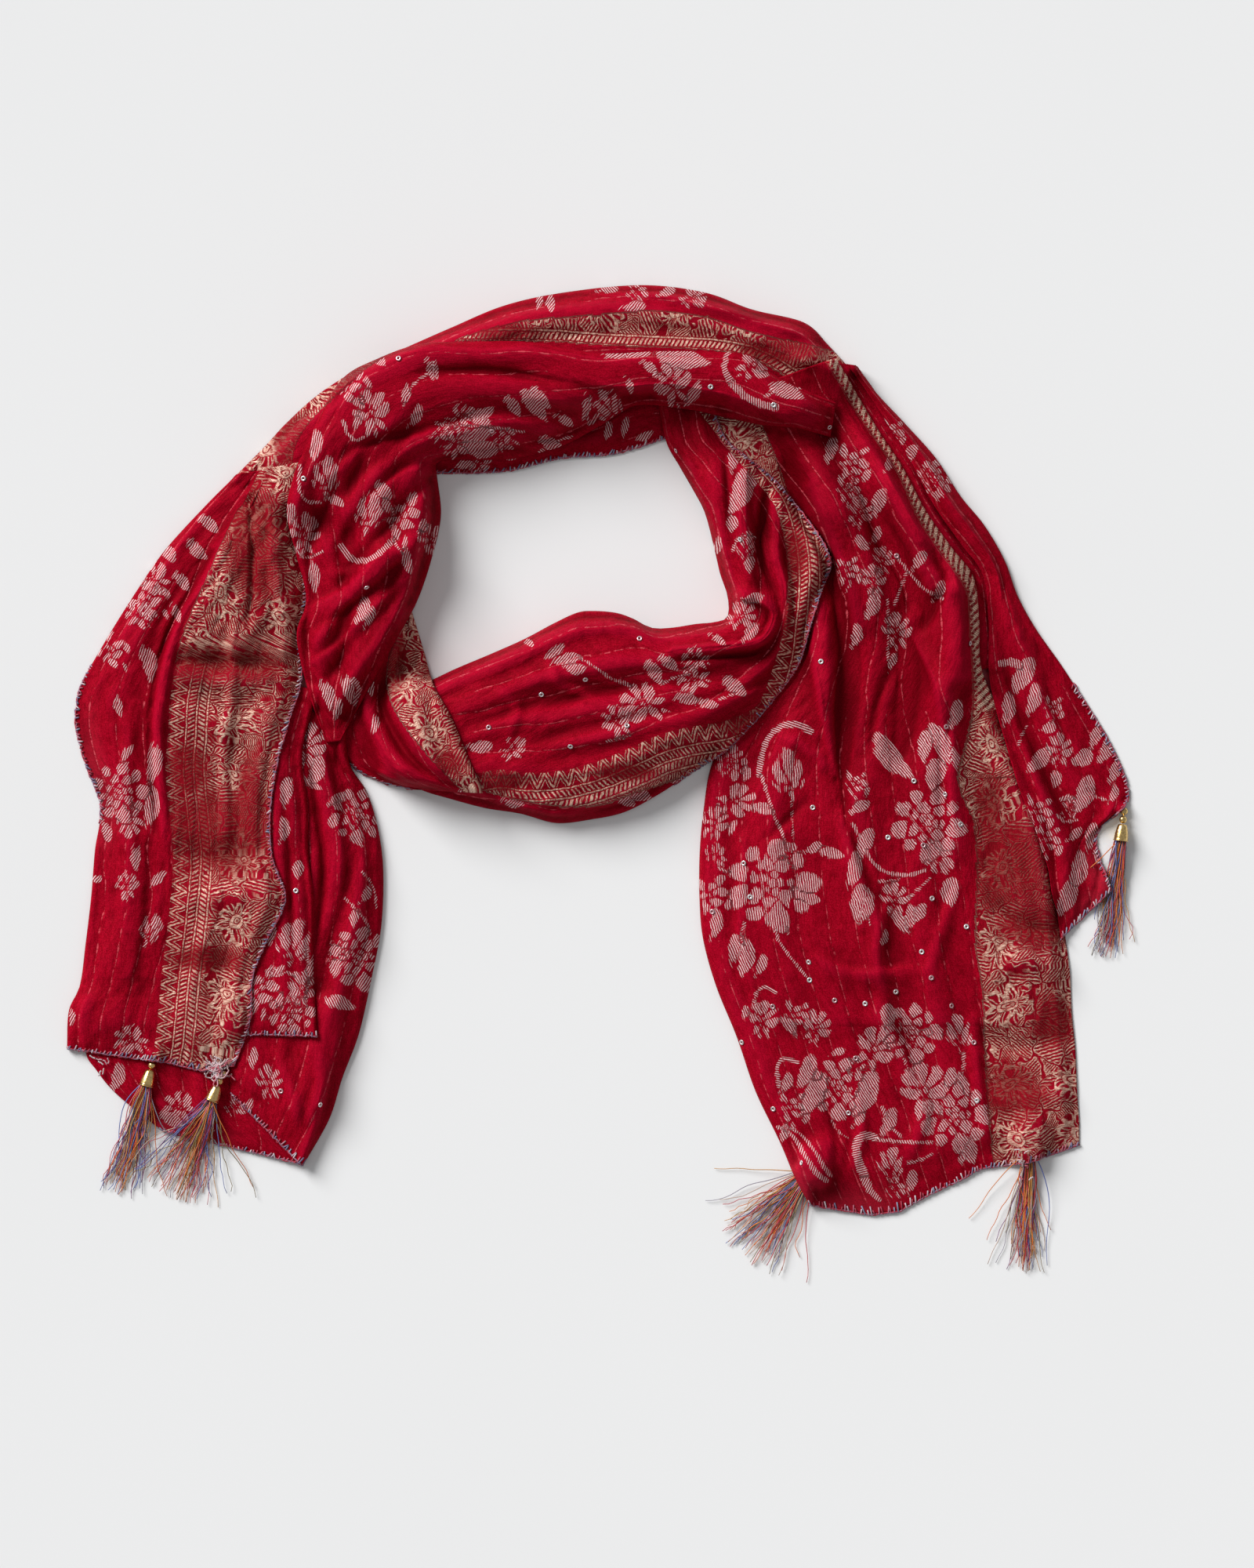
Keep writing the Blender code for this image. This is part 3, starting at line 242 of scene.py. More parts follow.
stretch(
    "right_tail_front", held="laid", rests_on=["layers_right_tail", "top_arc_back"],
    loft=4.4, gather=0.4, cell=1.06,
    sections=tucked(RIGHT_TAIL_FRONT, FRONT_TUCKS),
    folds=(
        (0.3, 0.62, 4, 0.48, 6, 8, 8), (3, 0.42, 6.8, 0.4, 7, 6, 10), (1.5, 0.86, 6, 0.9, 3, 7, 6),
        (6.8, 0.42, 9.6, 0.4, -3, 6, 6), (5, 0.84, 8, 0.86, 3, 6, 6), (8.5, 0.8, 12.5, 0.72, 4, 5, 9),
        (8, 0.22, 15, 0.2, 4, 11, 11), (9.5, 0.47, 17, 0.42, 4, 12, 10), (12, 0.62, 18, 0.6, 3, 9, 9),
        (14, 0.3, 17.6, 0.34, 2.5, 9, 9), (12.5, 0.88, 16.8, 0.87, 2, 8, 8),
    ),
    waves=((0, 0), (0.1, 7), (0.2, 13), (0.3, 14), (0.42, 9), (0.57, 4), (0.63, 1), (0.8, 3), (1, 0)),
    rolls=(((0, 2), (8, 5), (20, 2.5)), ((0, 4), (8, 3), (9.5, 0))),
    creases=(
        (4.5, 6, 7, 1071, 526, 1098, 566, 1132, 622, 1165, 672, 1212, 730, 1226, 790, 1228, 860),
        (-5, 6, 7, 1062, 556, 1088, 618, 1122, 680, 1160, 732, 1195, 785),
        (5, 8, 8, 1000, 556, 1028, 590, 1050, 640, 1066, 690),
        (4, 5, 9, 1040, 530, 1076, 560, 1084, 610, 1094, 660, 1108, 720, 1126, 780),
        (-6, 10, 7, 1004, 600, 1024, 660, 1052, 712, 1072, 780, 1080, 850, 1077, 920, 1076, 1020),
        (4, 9, 7, 1030, 740, 1050, 800, 1058, 860, 1052, 930),
        (-5, 12, 10, 1150, 790, 1162, 850, 1160, 920, 1150, 980),
        (4, 9, 12, 1205, 742, 1216, 800, 1212, 860, 1192, 930, 1180, 1000),
        (4, 5, 5, 1120, 600, 1146, 650, 1172, 700, 1196, 742, 1224, 752),
        (-4, 3, 4, 1184, 700, 1206, 742, 1196, 770, 1180, 800),
        (-3, 5, 6, 1112, 600, 1138, 660, 1156, 720, 1160, 780),
        (4, 4, 3, 1034, 621, 1053, 673, 1074, 719, 1092, 780, 1096, 815),
        (-5, 3, 6, 1090, 828, 1080, 862, 1078, 926, 1078, 990),
        (3.5, 7, 2.5, 1046, 765, 1040, 830, 1052, 900, 1066, 985),
        (-2.5, 3, 4, 1134, 858, 1118, 905, 1110, 960),
        (3, 6, 2, 1160, 800, 1190, 860, 1206, 930, 1207, 1030, 1214, 1090),
        (-3, 2, 4, 1209, 905, 1207, 985, 1212, 1065),
        (2.2, 4, 4, 1100, 1000, 1083, 1060, 1098, 1130, 1126, 1190),
        (-2.5, 4, 3, 1078, 1010, 1090, 1075, 1112, 1140), (1.8, 3, 3, 1125, 1260, 1118, 1210, 1130, 1150),
        (1.6, 3, 4, 1185, 1240, 1200, 1190, 1222, 1130), (-1.5, 3, 3, 975, 1075, 1000, 1050, 1030, 1020),
        (1.5, 4, 3, 1000, 940, 1030, 955, 1060, 985),
        (1.6, 3, 5, 1040, 1222, 1080, 1240, 1120, 1243, 1165, 1236),
        (2.2, 3, 5, 1130, 1262, 1128, 1300, 1150, 1345, 1163, 1385),
        (1.8, 3, 3, 1090, 1490, 1100, 1440, 1092, 1400), (2, 3, 4, 1243, 1300, 1248, 1380, 1262, 1470),
        (1.6, 4, 3, 1160, 1480, 1180, 1420, 1170, 1370), (-1.4, 3, 3, 1060, 1500, 1066, 1450, 1050, 1400),
        (2.5, 4, 6, 1262, 960, 1300, 1010, 1330, 1080, 1345, 1150),
        (-2.4, 6, 5, 1270, 1150, 1310, 1180, 1352, 1190), (2.2, 7, 6, 1262, 1245, 1310, 1225, 1360, 1240),
        (-1.8, 6, 6, 1262, 1325, 1310, 1335, 1365, 1320), (1.8, 6, 6, 1270, 1400, 1320, 1405, 1370, 1390),
        (1.5, 4, 4, 930, 1020, 950, 1090, 945, 1180, 965, 1280),
    ),
    borders=(
        (
            (1050, 460, 1069, 488, 1089, 520, 1111, 553, 1143, 600, 1170, 662, 1205, 715, 1233, 756, 1236,
             800, 1240, 850, 1241, 905, 1232, 950, 1221, 991, 1230, 1021, 1243, 1052, 1247, 1117, 1245,
             1202, 1254, 1265, 1259, 1376, 1263, 1431, 1271, 1500),
            None,
            ((9, 16.2), (9.4, 24)),
        ),
        ((1012, 650, 1003, 620, 985, 570, 960, 520, 925, 470), (1100, 648, 820, 656), ((0, 24),)),
    ),
    dull=(
        (1290, 1105, 52, 62), (1325, 1180, 50, 26), (1262, 1030, 16, 40), (1290, 1395, 40, 30),
        (1275, 905, 12, 24), (1345, 1300, 26, 30),
    ),
    shade=(
        (1034, 486, 32, 16, 0.8), (1012, 618, 34, 70, 0.75), (1062, 590, 30, 40, 0.6),
        (1040, 690, 26, 60, 0.6), (1082, 800, 12, 90, 0.6), (1088, 930, 12, 110, 0.6),
        (1150, 880, 46, 110, 0.42), (1188, 800, 16, 46, 0.5), (1230, 800, 8, 60, 0.5),
        (1140, 1000, 60, 30, 0.25), (1050, 1240, 60, 40, 0.15),
    ),
    sheer=((1050, 1540, 90, 60),),
    motifs=(
        ("tulip", 1006, 987, -12, 27, 92), ("rose", 933, 972, 0, 17, 92), ("petal", 952, 987, 10, 8, 92),
        ("bloom", 938, 1022, 80, 24, 92), ("leaf", 974, 1032, -78, 15, 92),
        ("bloom", 912, 1051, 20, 20, 92), ("leaf", 934, 1057, 15, 8, 92), ("bloom", 915, 1091, -30, 14, 92),
        ("cluster", 911, 1141, 8, 26, 92), ("leaf", 913, 1180, 10, 17, 110), ("rose", 985, 1127, 0, 45, 97),
        ("leaf", 1028, 1143, -70, 19, 97), ("bloom", 1008, 1092, -10, 16, 100),
        ("leaf", 1061, 1088, -75, 15, 100), ("leaf", 1037, 1082, 65, 12, 120),
        ("leaf", 1089, 1110, 12, 20, 100), ("leaf", 1096, 1152, 6, 22, 110),
        ("leaf", 1104, 1156, 14, 20, 110), ("leaf", 937, 1212, 8, 17, 115),
        ("leaf", 951, 1222, 10, 22, 115), ("leaf", 971, 1232, 22, 13, 118),
        ("leaf", 1181, 951, 12, 19, 125), ("leaf", 1200, 950, -22, 24, 125),
        ("petal", 1193, 988, 15, 18, 125), ("leaf", 1218, 912, 20, 18, 125),
        ("leaf", 1217, 968, -15, 13, 125), ("leaf", 1138, 966, -40, 30, 130),
        ("cluster", 1094, 1000, 15, 17, 128), ("leaf", 1096, 1030, 60, 14, 130),
        ("rose", 1184, 1050, 10, 37, 128), ("bloom", 1196, 1092, 160, 22, 128),
        ("leaf", 1104, 1076, 25, 20, 120), ("bloom", 1142, 1148, 5, 21, 125),
        ("leaf", 1149, 1176, -35, 15, 125), ("leaf", 1161, 1171, 15, 16, 125),
        ("leaf", 1171, 1166, 40, 15, 125), ("petal", 1213, 1138, 5, 16, 110),
        ("leaf", 1127, 1198, 25, 9, 120), ("bloom", 974, 1302, 15, 23, 118),
        ("petal", 951, 1292, 10, 7, 110), ("cluster", 1018, 1296, 20, 20, 120),
        ("bloom", 1042, 1312, 30, 22, 122), ("leaf", 1008, 1310, -35, 14, 120),
        ("leaf", 1068, 1343, 70, 9, 120), ("leaf", 1029, 1368, 25, 22, 122),
        ("leaf", 1038, 1398, 28, 27, 122), ("cluster", 1014, 1414, 15, 22, 122),
        ("leaf", 1003, 1383, 30, 13, 122), ("rose", 1070, 1388, 10, 31, 122),
        ("leaf", 1104, 1396, 22, 29, 124), ("bloom", 1115, 1340, 35, 29, 124),
        ("rose", 1163, 1318, 0, 30, 126), ("leaf", 1187, 1318, -85, 12, 126),
        ("petal", 1133, 1297, 5, 14, 124), ("tulip", 1224, 1318, -10, 21, 126),
        ("bloom", 1181, 1394, -5, 36, 126), ("rose", 1219, 1424, 0, 36, 128),
        ("leaf", 1211, 1377, 30, 15, 126), ("leaf", 1230, 1385, -25, 14, 128),
        ("leaf", 1096, 1427, 30, 12, 122), ("leaf", 1134, 1432, 28, 18, 122),
        ("tulip", 1138, 1486, 5, 20, 124), ("bloom", 1144, 1515, 170, 13, 124),
        ("leaf", 1164, 1509, 15, 14, 126), ("leaf", 1000, 1448, 20, 11, 118),
        ("leaf", 1228, 1478, 5, 10, 128), ("petal", 1239, 1470, -5, 14, 128),
        ("leaf", 993, 1480, 30, 8, 118), ("cluster", 1090, 592, 20, 24, 128),
        ("cluster", 1084, 626, 15, 19, 128), ("bloom", 1096, 655, 30, 20, 130),
        ("leaf", 1121, 642, 20, 17, 130), ("leaf", 1117, 684, 30, 11, 128),
        ("petal", 1099, 694, -40, 10, 128), ("bloom", 1126, 716, 10, 17, 130),
        ("cluster", 1083, 728, 10, 18, 110), ("bloom", 1114, 742, 0, 19, 125),
        ("leaf", 1112, 773, 20, 18, 125), ("leaf", 1172, 716, 35, 13, 120),
        ("leaf", 1197, 755, 25, 12, 120), ("bloom", 1145, 806, 5, 22, 125),
        ("leaf", 1138, 845, 25, 10, 125), ("leaf", 1092, 812, 15, 14, 125),
        ("leaf", 1060, 575, 20, 16, 125), ("leaf", 1134, 592, 25, 11, 125),
    ),
    stems=(
        (3.6, 3, 1034, 933, 1018, 925, 998, 926, 980, 942, 972, 965, 968, 988),
        (2.2, 1.6, 972, 990, 980, 1016, 988, 1042, 998, 1062, 1003, 1082),
        (1.3, 1.3, 1010, 1022, 1011, 1045, 1012, 1070), (1.6, 1.6, 918, 1108, 930, 1112, 942, 1108),
        (2.2, 1.4, 992, 1172, 990, 1190, 1001, 1211, 1029, 1246), (2, 1.6, 950, 1178, 946, 1196, 950, 1208),
        (1.6, 1.2, 1003, 1175, 1006, 1192),
        (2, 2.2, 1088, 1051, 1104, 1080, 1112, 1098, 1132, 1113, 1160, 1116, 1180, 1110),
        (2, 1.6, 1122, 1124, 1138, 1124, 1148, 1121), (1.8, 1.8, 1160, 1145, 1174, 1132, 1187, 1120),
        (2, 2.4, 962, 1282, 966, 1266, 977, 1259, 990, 1266),
        (2.6, 2.2, 994, 1385, 992, 1362, 1001, 1351, 1018, 1356),
        (1.5, 1.2, 1062, 1430, 1070, 1444, 1084, 1453), (2.4, 1.8, 1127, 1414, 1136, 1436, 1150, 1450),
        (2.4, 2, 1122, 1454, 1150, 1457, 1189, 1458), (2, 2, 1160, 1484, 1176, 1480, 1190, 1473),
        (4, 5.5, 1117, 1452, 1102, 1449, 1093, 1462, 1096, 1482, 1103, 1500),
        (5.5, 3, 1103, 1500, 1110, 1518, 1122, 1531), (1.6, 1.4, 1083, 1368, 1086, 1358, 1084, 1350),
        (2.4, 1.6, 1230, 1345, 1230, 1360, 1228, 1372), (1.8, 1.4, 1154, 1350, 1160, 1368, 1165, 1382),
        (1.8, 1.8, 1144, 710, 1160, 730, 1180, 752, 1202, 764), (1.8, 1.8, 1158, 728, 1150, 748, 1141, 772),
        (1.4, 1.4, 1132, 765, 1133, 800, 1133, 842), (1.4, 1.4, 1104, 1150, 1110, 1180),
        (2.4, 3, 994, 1439, 1012, 1450, 1026, 1472, 1040, 1494, 1054, 1506),
        (1.6, 2.4, 1002, 1438, 1020, 1446, 1038, 1466, 1050, 1486, 1060, 1500),
    ),
)
stretch(
    "right_tail_outer", held="folded", rests_on=["right_tail_front"],
    loft=1.8, gather=0.5,
    sections=RIGHT_TAIL_OUTER,
    folds=((1, 0.5, 8, 0.5, 4, 6, 7), (7.5, 0.42, 12.5, 0.52, 4, 8, 9), (12.5, 0.32, 16.5, 0.34, 3, 6, 6)),
    rolls=(BARE, ((0, 4), (8, 3), (9.5, 0))),
    creases=(
        (3, 4, 4, 1096, 480, 1160, 560, 1215, 650, 1262, 740, 1272, 800),
        (-2.5, 4, 4, 1258, 730, 1275, 800, 1290, 880, 1320, 960),
        (2.5, 5, 3, 1286, 760, 1312, 850, 1350, 930, 1392, 1000),
        (-2, 3, 3, 1330, 870, 1362, 950, 1400, 1010), (2, 4, 4, 1310, 960, 1345, 1040, 1375, 1110),
    ),
    sheer=((1395, 1130, 30, 60),),
    motifs=(
        ("cluster", 1140, 552, 20, 18, 130), ("leaf", 1162, 580, 30, 14, 130),
        ("rose", 1193, 610, 0, 20, 125), ("leaf", 1306, 862, 30, 24, 108), ("leaf", 1319, 893, 15, 18, 112),
        ("leaf", 1287, 905, 10, 18, 110), ("cluster", 1346, 902, 20, 15, 112),
        ("petal", 1338, 928, 60, 9, 112), ("bloom", 1353, 958, 10, 20, 112),
        ("petal", 1382, 967, 60, 14, 118), ("leaf", 1326, 970, 45, 20, 122),
        ("leaf", 1400, 940, 25, 15, 125), ("leaf", 1412, 958, 30, 17, 125),
        ("leaf", 1424, 985, 25, 15, 125), ("petal", 1348, 994, 0, 9, 110),
        ("leaf", 1384, 1014, 25, 24, 118), ("bloom", 1366, 1030, 30, 13, 118),
        ("cluster", 1327, 1036, 20, 22, 115), ("cluster", 1340, 1072, 20, 20, 115),
        ("leaf", 1376, 1112, 18, 23, 105), ("leaf", 1362, 1146, 25, 23, 110),
        ("leaf", 1394, 1068, 15, 16, 112), ("leaf", 1422, 1013, 20, 11, 120),
        ("leaf", 1403, 1090, 20, 13, 110), ("leaf", 1372, 1065, 50, 11, 118),
    ),
    stems=(
        (3.6, 6, 1278, 846, 1296, 845, 1308, 858), (2.4, 2, 1356, 1020, 1366, 1016, 1374, 1028, 1371, 1042),
        (1.8, 1.8, 1350, 1040, 1360, 1048, 1376, 1046), (1.6, 1.6, 1300, 950, 1306, 935, 1312, 925),
        (1.6, 1.6, 1394, 1012, 1404, 1018, 1414, 1020),
    ),
)
stretch(
    "front_loop", held="folded", rests_on=["layers_front_loop", "right_tail_front"],
    loft=4.2, gather=1.3,
    sections=(
        (31, 207, 58, 215), (36, 184, 66, 188), (43, 171, 78, 176), (51, 157, 93, 164), (57, 145, 107, 148),
        (62, 126, 120, 129), (65, 113, 124, 117), (69, 101, 119, 103), (69, 90, 113, 84), (62, 87, 107, 64),
        (52, 86, 95, 47), (39, 84, 82, 32), (28, 84, 68, 18), (18, 89, 51, 7), (9, 92, 33, -5),
        (-3, 93, 14, -15), (-12, 92, -4, -19), (-25, 86, -23, -21), (-40, 78, -42, -16),
        (-58, 70, -61, -13), (-77, 62, -80, -8), (-92, 55, -96, -3), (-106, 50, -112, 6),
    ),
    folds=(
        (1.5, 0.45, 5.5, 0.14, 3, 5, 8), (3.2, 0.78, 5.2, 0.41, -3, 5, 5), (3.5, 0.86, 9, 0.88, 3, 6, 5),
        (6.9, 0.1, 8.4, 0.42, 4, 6, 5), (8.4, 0.46, 11, 0.3, 5, 5, 6), (10.5, 0.2, 18, 0.22, 4, 9, 9),
        (11, 0.52, 20, 0.45, 4, 9, 8), (10, 0.76, 21, 0.76, 3, 7, 6),
    ),
    rolls=(((0, 4), (22, 5)), ((0, 0), (9, 0), (12, 4))),
    creases=(
        (3, 3, 4, 870, 560, 890, 620, 910, 680, 930, 740),
        (-3, 3, 3, 925, 580, 928, 640, 934, 700, 940, 748),
        (3, 3, 3, 950, 590, 948, 650, 952, 710, 960, 752),
        (-4, 3, 3, 982, 622, 972, 660, 968, 700, 985, 750),
        (4, 3, 3, 992, 640, 990, 700, 1000, 750, 1001, 800, 985, 840, 950, 870),
        (4, 4, 2, 930, 764, 962, 763, 986, 778, 984, 800, 966, 820, 910, 826, 860, 830),
        (-4, 2, 3, 985, 812, 962, 832, 910, 838, 860, 842),
        (3, 5, 5, 640, 846, 720, 812, 800, 800, 860, 808),
        (2.5, 5, 4, 590, 905, 680, 870, 770, 852, 850, 842, 930, 838),
        (-2, 4, 4, 600, 925, 700, 898, 790, 880, 870, 872, 940, 862),
        (2.5, 4, 4, 960, 880, 900, 908, 830, 925, 750, 944, 670, 960),
        (1.6, 3, 3, 700, 850, 720, 875, 760, 890), (1.4, 3, 3, 640, 880, 660, 905, 650, 935),
        (2.5, 3, 4, 640, 1022, 700, 1034, 760, 1036, 830, 1020, 900, 990),
        (-2.5, 3, 2, 620, 1008, 700, 1030, 770, 1030, 850, 1002),
    ),
    borders=(
        (
            (890, 522, 942, 588, 984, 638, 999, 680, 1005, 722, 1004, 762, 999, 803, 990, 840, 972, 885,
             960, 903, 921, 919, 878, 926, 838, 937, 798, 955, 755, 972, 712, 982, 672, 984, 639, 980, 600,
             986),
            (960, 480, 1090, 640, 1085, 760, 1045, 860, 975, 935, 931, 957, 904, 977, 855, 997, 805, 1013,
             772, 1026, 739, 1029, 705, 1028, 656, 1019, 600, 1004),
            ((0, 5), (8, 4), (10, 0)),
        ),
    ),
    dull=(
        (960, 925, 34, 18), (1040, 800, 10, 40), (1014, 706, 16, 30), (1000, 790, 10, 22),
        (640, 995, 30, 12), (800, 985, 40, 8),
    ),
    shade=(
        (872, 600, 14, 70, 0.5), (905, 560, 40, 24, 0.55), (968, 700, 12, 70, 0.5), (960, 838, 40, 10, 0.7),
        (898, 850, 40, 8, 0.5), (1040, 760, 10, 60, 0.5),
    ),
    motifs=(
        ("leaf", 707, 832, 55, 12, 52), ("leaf", 722, 842, 80, 16, 52), ("leaf", 733, 853, 100, 14, 52),
        ("bloom", 822, 898, -70, 29, 55), ("leaf", 834, 858, -35, 17, 52), ("leaf", 853, 846, -55, 14, 50),
        ("bloom", 888, 842, -70, 18, 50), ("bloom", 886, 868, -85, 20, 50), ("leaf", 937, 876, -50, 18, 48),
        ("leaf", 876, 892, -80, 14, 55), ("leaf", 903, 898, -80, 13, 55), ("bloom", 788, 922, -20, 22, 58),
        ("bloom", 655, 956, 60, 16, 50), ("leaf", 612, 953, 90, 15, 50), ("petal", 675, 820, -60, 6, 50),
        ("leaf", 916, 816, -55, 10, 52), ("leaf", 937, 585, 15, 16, 122), ("leaf", 944, 628, 20, 28, 122),
        ("leaf", 958, 612, 15, 18, 122), ("petal", 933, 670, 10, 10, 122), ("tulip", 952, 695, 15, 15, 120),
        ("petal", 956, 721, 10, 9, 120), ("bloom", 945, 786, 60, 20, 110), ("leaf", 957, 808, 40, 14, 110),
        ("leaf", 915, 698, 15, 10, 95), ("leaf", 960, 764, 80, 13, 110), ("leaf", 815, 1012, -65, 18, 48),
        ("leaf", 798, 1022, -70, 13, 48), ("leaf", 655, 1024, -80, 12, 45), ("leaf", 858, 992, -55, 14, 48),
    ),
    stems=(
        (1.6, 2, 738, 838, 760, 852, 780, 866, 800, 873, 815, 884),
        (1.6, 1.6, 846, 872, 862, 864, 880, 860), (1.4, 1.4, 774, 946, 790, 942, 805, 938),
        (2, 1.6, 935, 702, 940, 690, 950, 684, 964, 686), (1.6, 1.6, 918, 892, 930, 888, 944, 880),
    ),
)
stretch(
    "loop_left_end", held="folded", rests_on=["front_loop"],
    loft=2.4, gather=1.3,
    sections=(
        (-124, 84, -101, 94), (-130, 63, -94, 71), (-136, 42, -89, 54), (-140, 26, -79, 36),
        (-134, 11, -71, 17), (-119, 2, -65, 3), (-100, -3, -62, -5),
    ),
    folds=((0.5, 0.35, 5, 0.34, 4, 6, 6), (1, 0.74, 6, 0.66, 3, 6, 6)),
    rolls=(((0, 3),), ((0, 3),)),
    creases=(
        (2.5, 3, 3, 508, 810, 500, 860, 520, 930, 560, 980),
        (-3, 3, 3, 492, 850, 488, 900, 515, 955, 550, 990),
        (3, 3, 3, 470, 860, 468, 900, 490, 950, 525, 990, 590, 1016),
        (1.8, 4, 4, 528, 820, 545, 870, 570, 920, 605, 985),
    ),
    borders=(
        (
            (518, 780, 502, 820, 493, 856, 496, 886, 512, 919, 537, 952, 560, 978, 592, 1010),
            None,
            ((0, 30),),
        ),
    ),
    dull=((505, 840, 12, 40), (570, 975, 16, 14)),
    shade=((486, 880, 14, 50, 0.5), (530, 950, 12, 50, 0.3)),
    motifs=(
        ("leaf", 470, 872, -20, 13, 70), ("leaf", 592, 1010, 60, 12, 50), ("leaf", 478, 925, 10, 10, 80),
    ),
)
stretch(
    "left_tail_back", held="laid", rests_on=["layers_left_tail"],
    loft=1.4, gather=0.7,
    sections=(
        (-274, -118, -142, -118), (-276, -143, -145, -145), (-270, -154, -150, -168),
        (-261, -165, -154, -185), (-247, -177, -157, -196), (-235, -186, -160, -204),
    ),
    folds=((1.5, 0.3, 5, 0.34, 2, 8, 9),),
    rolls=(((0, 1.5),), ((0, 3),)),
    creases=((1.6, 4, 4, 250, 1370, 255, 1410, 280, 1450), (1.2, 3, 3, 180, 1370, 200, 1400, 215, 1430)),
    sheer=((210, 1440, 80, 40),),
    motifs=(
        ("bloom", 230, 1414, -50, 22, 52), ("leaf", 218, 1428, -60, 17, 52),
        ("leaf", 148, 1376, 20, 17, 120), ("bloom", 300, 1412, 60, 14, 120),
        ("leaf", 318, 1350, 15, 12, 118), ("leaf", 345, 1378, 0, 14, 118), ("leaf", 260, 1440, -70, 12, 52),
    ),
)
stretch(
    "left_tail_side", held="folded", rests_on=["left_tail_back"],
    loft=2.6, gather=1.1,
    sections=(
        (-170, 46, -136, 31), (-174, 21, -134, 11), (-176, -4, -125, -4), (-178, -25, -119, -23),
        (-180, -46, -116, -46), (-184, -71, -117, -76), (-191, -97, -122, -103), (-196, -122, -129, -134),
        (-197, -143, -138, -158), (-198, -156, -145, -180), (-198, -166, -159, -205),
    ),
    folds=((0.5, 0.5, 7, 0.48, 4, 8, 9), (3, 0.76, 9, 0.7, 3, 7, 7)),
    rolls=(BARE, ((0, 4), (10, 3))),
    creases=(
        (3, 3, 5, 402, 930, 420, 1010, 432, 1100, 420, 1190),
        (-2.5, 3, 3, 388, 940, 402, 1020, 412, 1110, 402, 1200),
        (2, 4, 4, 455, 1010, 462, 1100, 450, 1200, 425, 1290), (1.8, 4, 4, 400, 1330, 410, 1380, 395, 1430),
        (1.6, 3, 3, 350, 1345, 372, 1390, 380, 1440),
    ),
    shade=((412, 940, 30, 50, 0.5), (378, 1040, 10, 120, 0.45), (372, 960, 16, 40, 0.4)),
    motifs=(
        ("bloom", 392, 952, 20, 28, 122), ("leaf", 380, 975, 15, 17, 122), ("leaf", 402, 985, 25, 20, 122),
        ("leaf", 442, 888, -20, 18, 70), ("leaf", 416, 897, -15, 15, 75), ("rose", 455, 1040, 10, 28, 118),
        ("leaf", 430, 1020, 60, 13, 118), ("leaf", 466, 1142, 30, 11, 125), ("rose", 458, 1222, 0, 32, 58),
        ("leaf", 434, 1280, -75, 18, 118), ("bloom", 430, 1215, 50, 16, 58),
        ("leaf", 452, 1172, 20, 12, 110), ("bloom", 343, 1382, 0, 20, 115),
        ("leaf", 322, 1352, 10, 12, 115), ("leaf", 310, 1415, 50, 12, 60), ("leaf", 365, 1305, 10, 12, 115),
        ("leaf", 398, 1000, -60, 11, 122),
    ),
    stems=(
        (1.6, 1.6, 440, 1146, 456, 1162, 468, 1178, 472, 1192), (1.4, 1.4, 462, 1112, 476, 1132, 480, 1160),
        (1.4, 1.4, 376, 925, 386, 938, 398, 950),
    ),
)
stretch(
    "left_tail_middle", held="folded", rests_on=["left_tail_side"],
    loft=2, gather=0.9,
    sections=(
        (-187, 59, -151, 50), (-191, 17, -159, 17), (-195, -13, -156, -13), (-195, -38, -156, -36),
        (-195, -63, -153, -60), (-195, -84, -153, -82), (-196, -109, -153, -103), (-195, -134, -151, -135),
    ),
    folds=((0.5, 0.62, 6.5, 0.6, 3, 7, 7),),
    rolls=(BARE, ((0, 2),)),
    creases=(
        (2, 3, 3, 372, 980, 380, 1080, 384, 1180, 388, 1290), (-1.8, 3, 3, 362, 1000, 368, 1100, 374, 1200),
    ),
    shade=((368, 1040, 8, 140, 0.4),),
    motifs=(
        ("tulip", 376, 1202, 10, 27, 122), ("bloom", 385, 1262, 20, 22, 120),
        ("rose", 372, 1290, 0, 24, 60), ("cluster", 334, 1262, 5, 30, 60), ("leaf", 396, 1236, 20, 15, 60),
        ("leaf", 352, 1240, 60, 10, 60), ("leaf", 366, 1010, 10, 17, 120), ("leaf", 362, 1060, 10, 14, 120),
        ("petal", 380, 1110, 10, 10, 120), ("leaf", 345, 1190, 0, 13, 60),
    ),
    stems=((2, 2, 392, 1208, 394, 1250, 388, 1275), (1.8, 1.8, 356, 1244, 366, 1240, 378, 1246)),
)
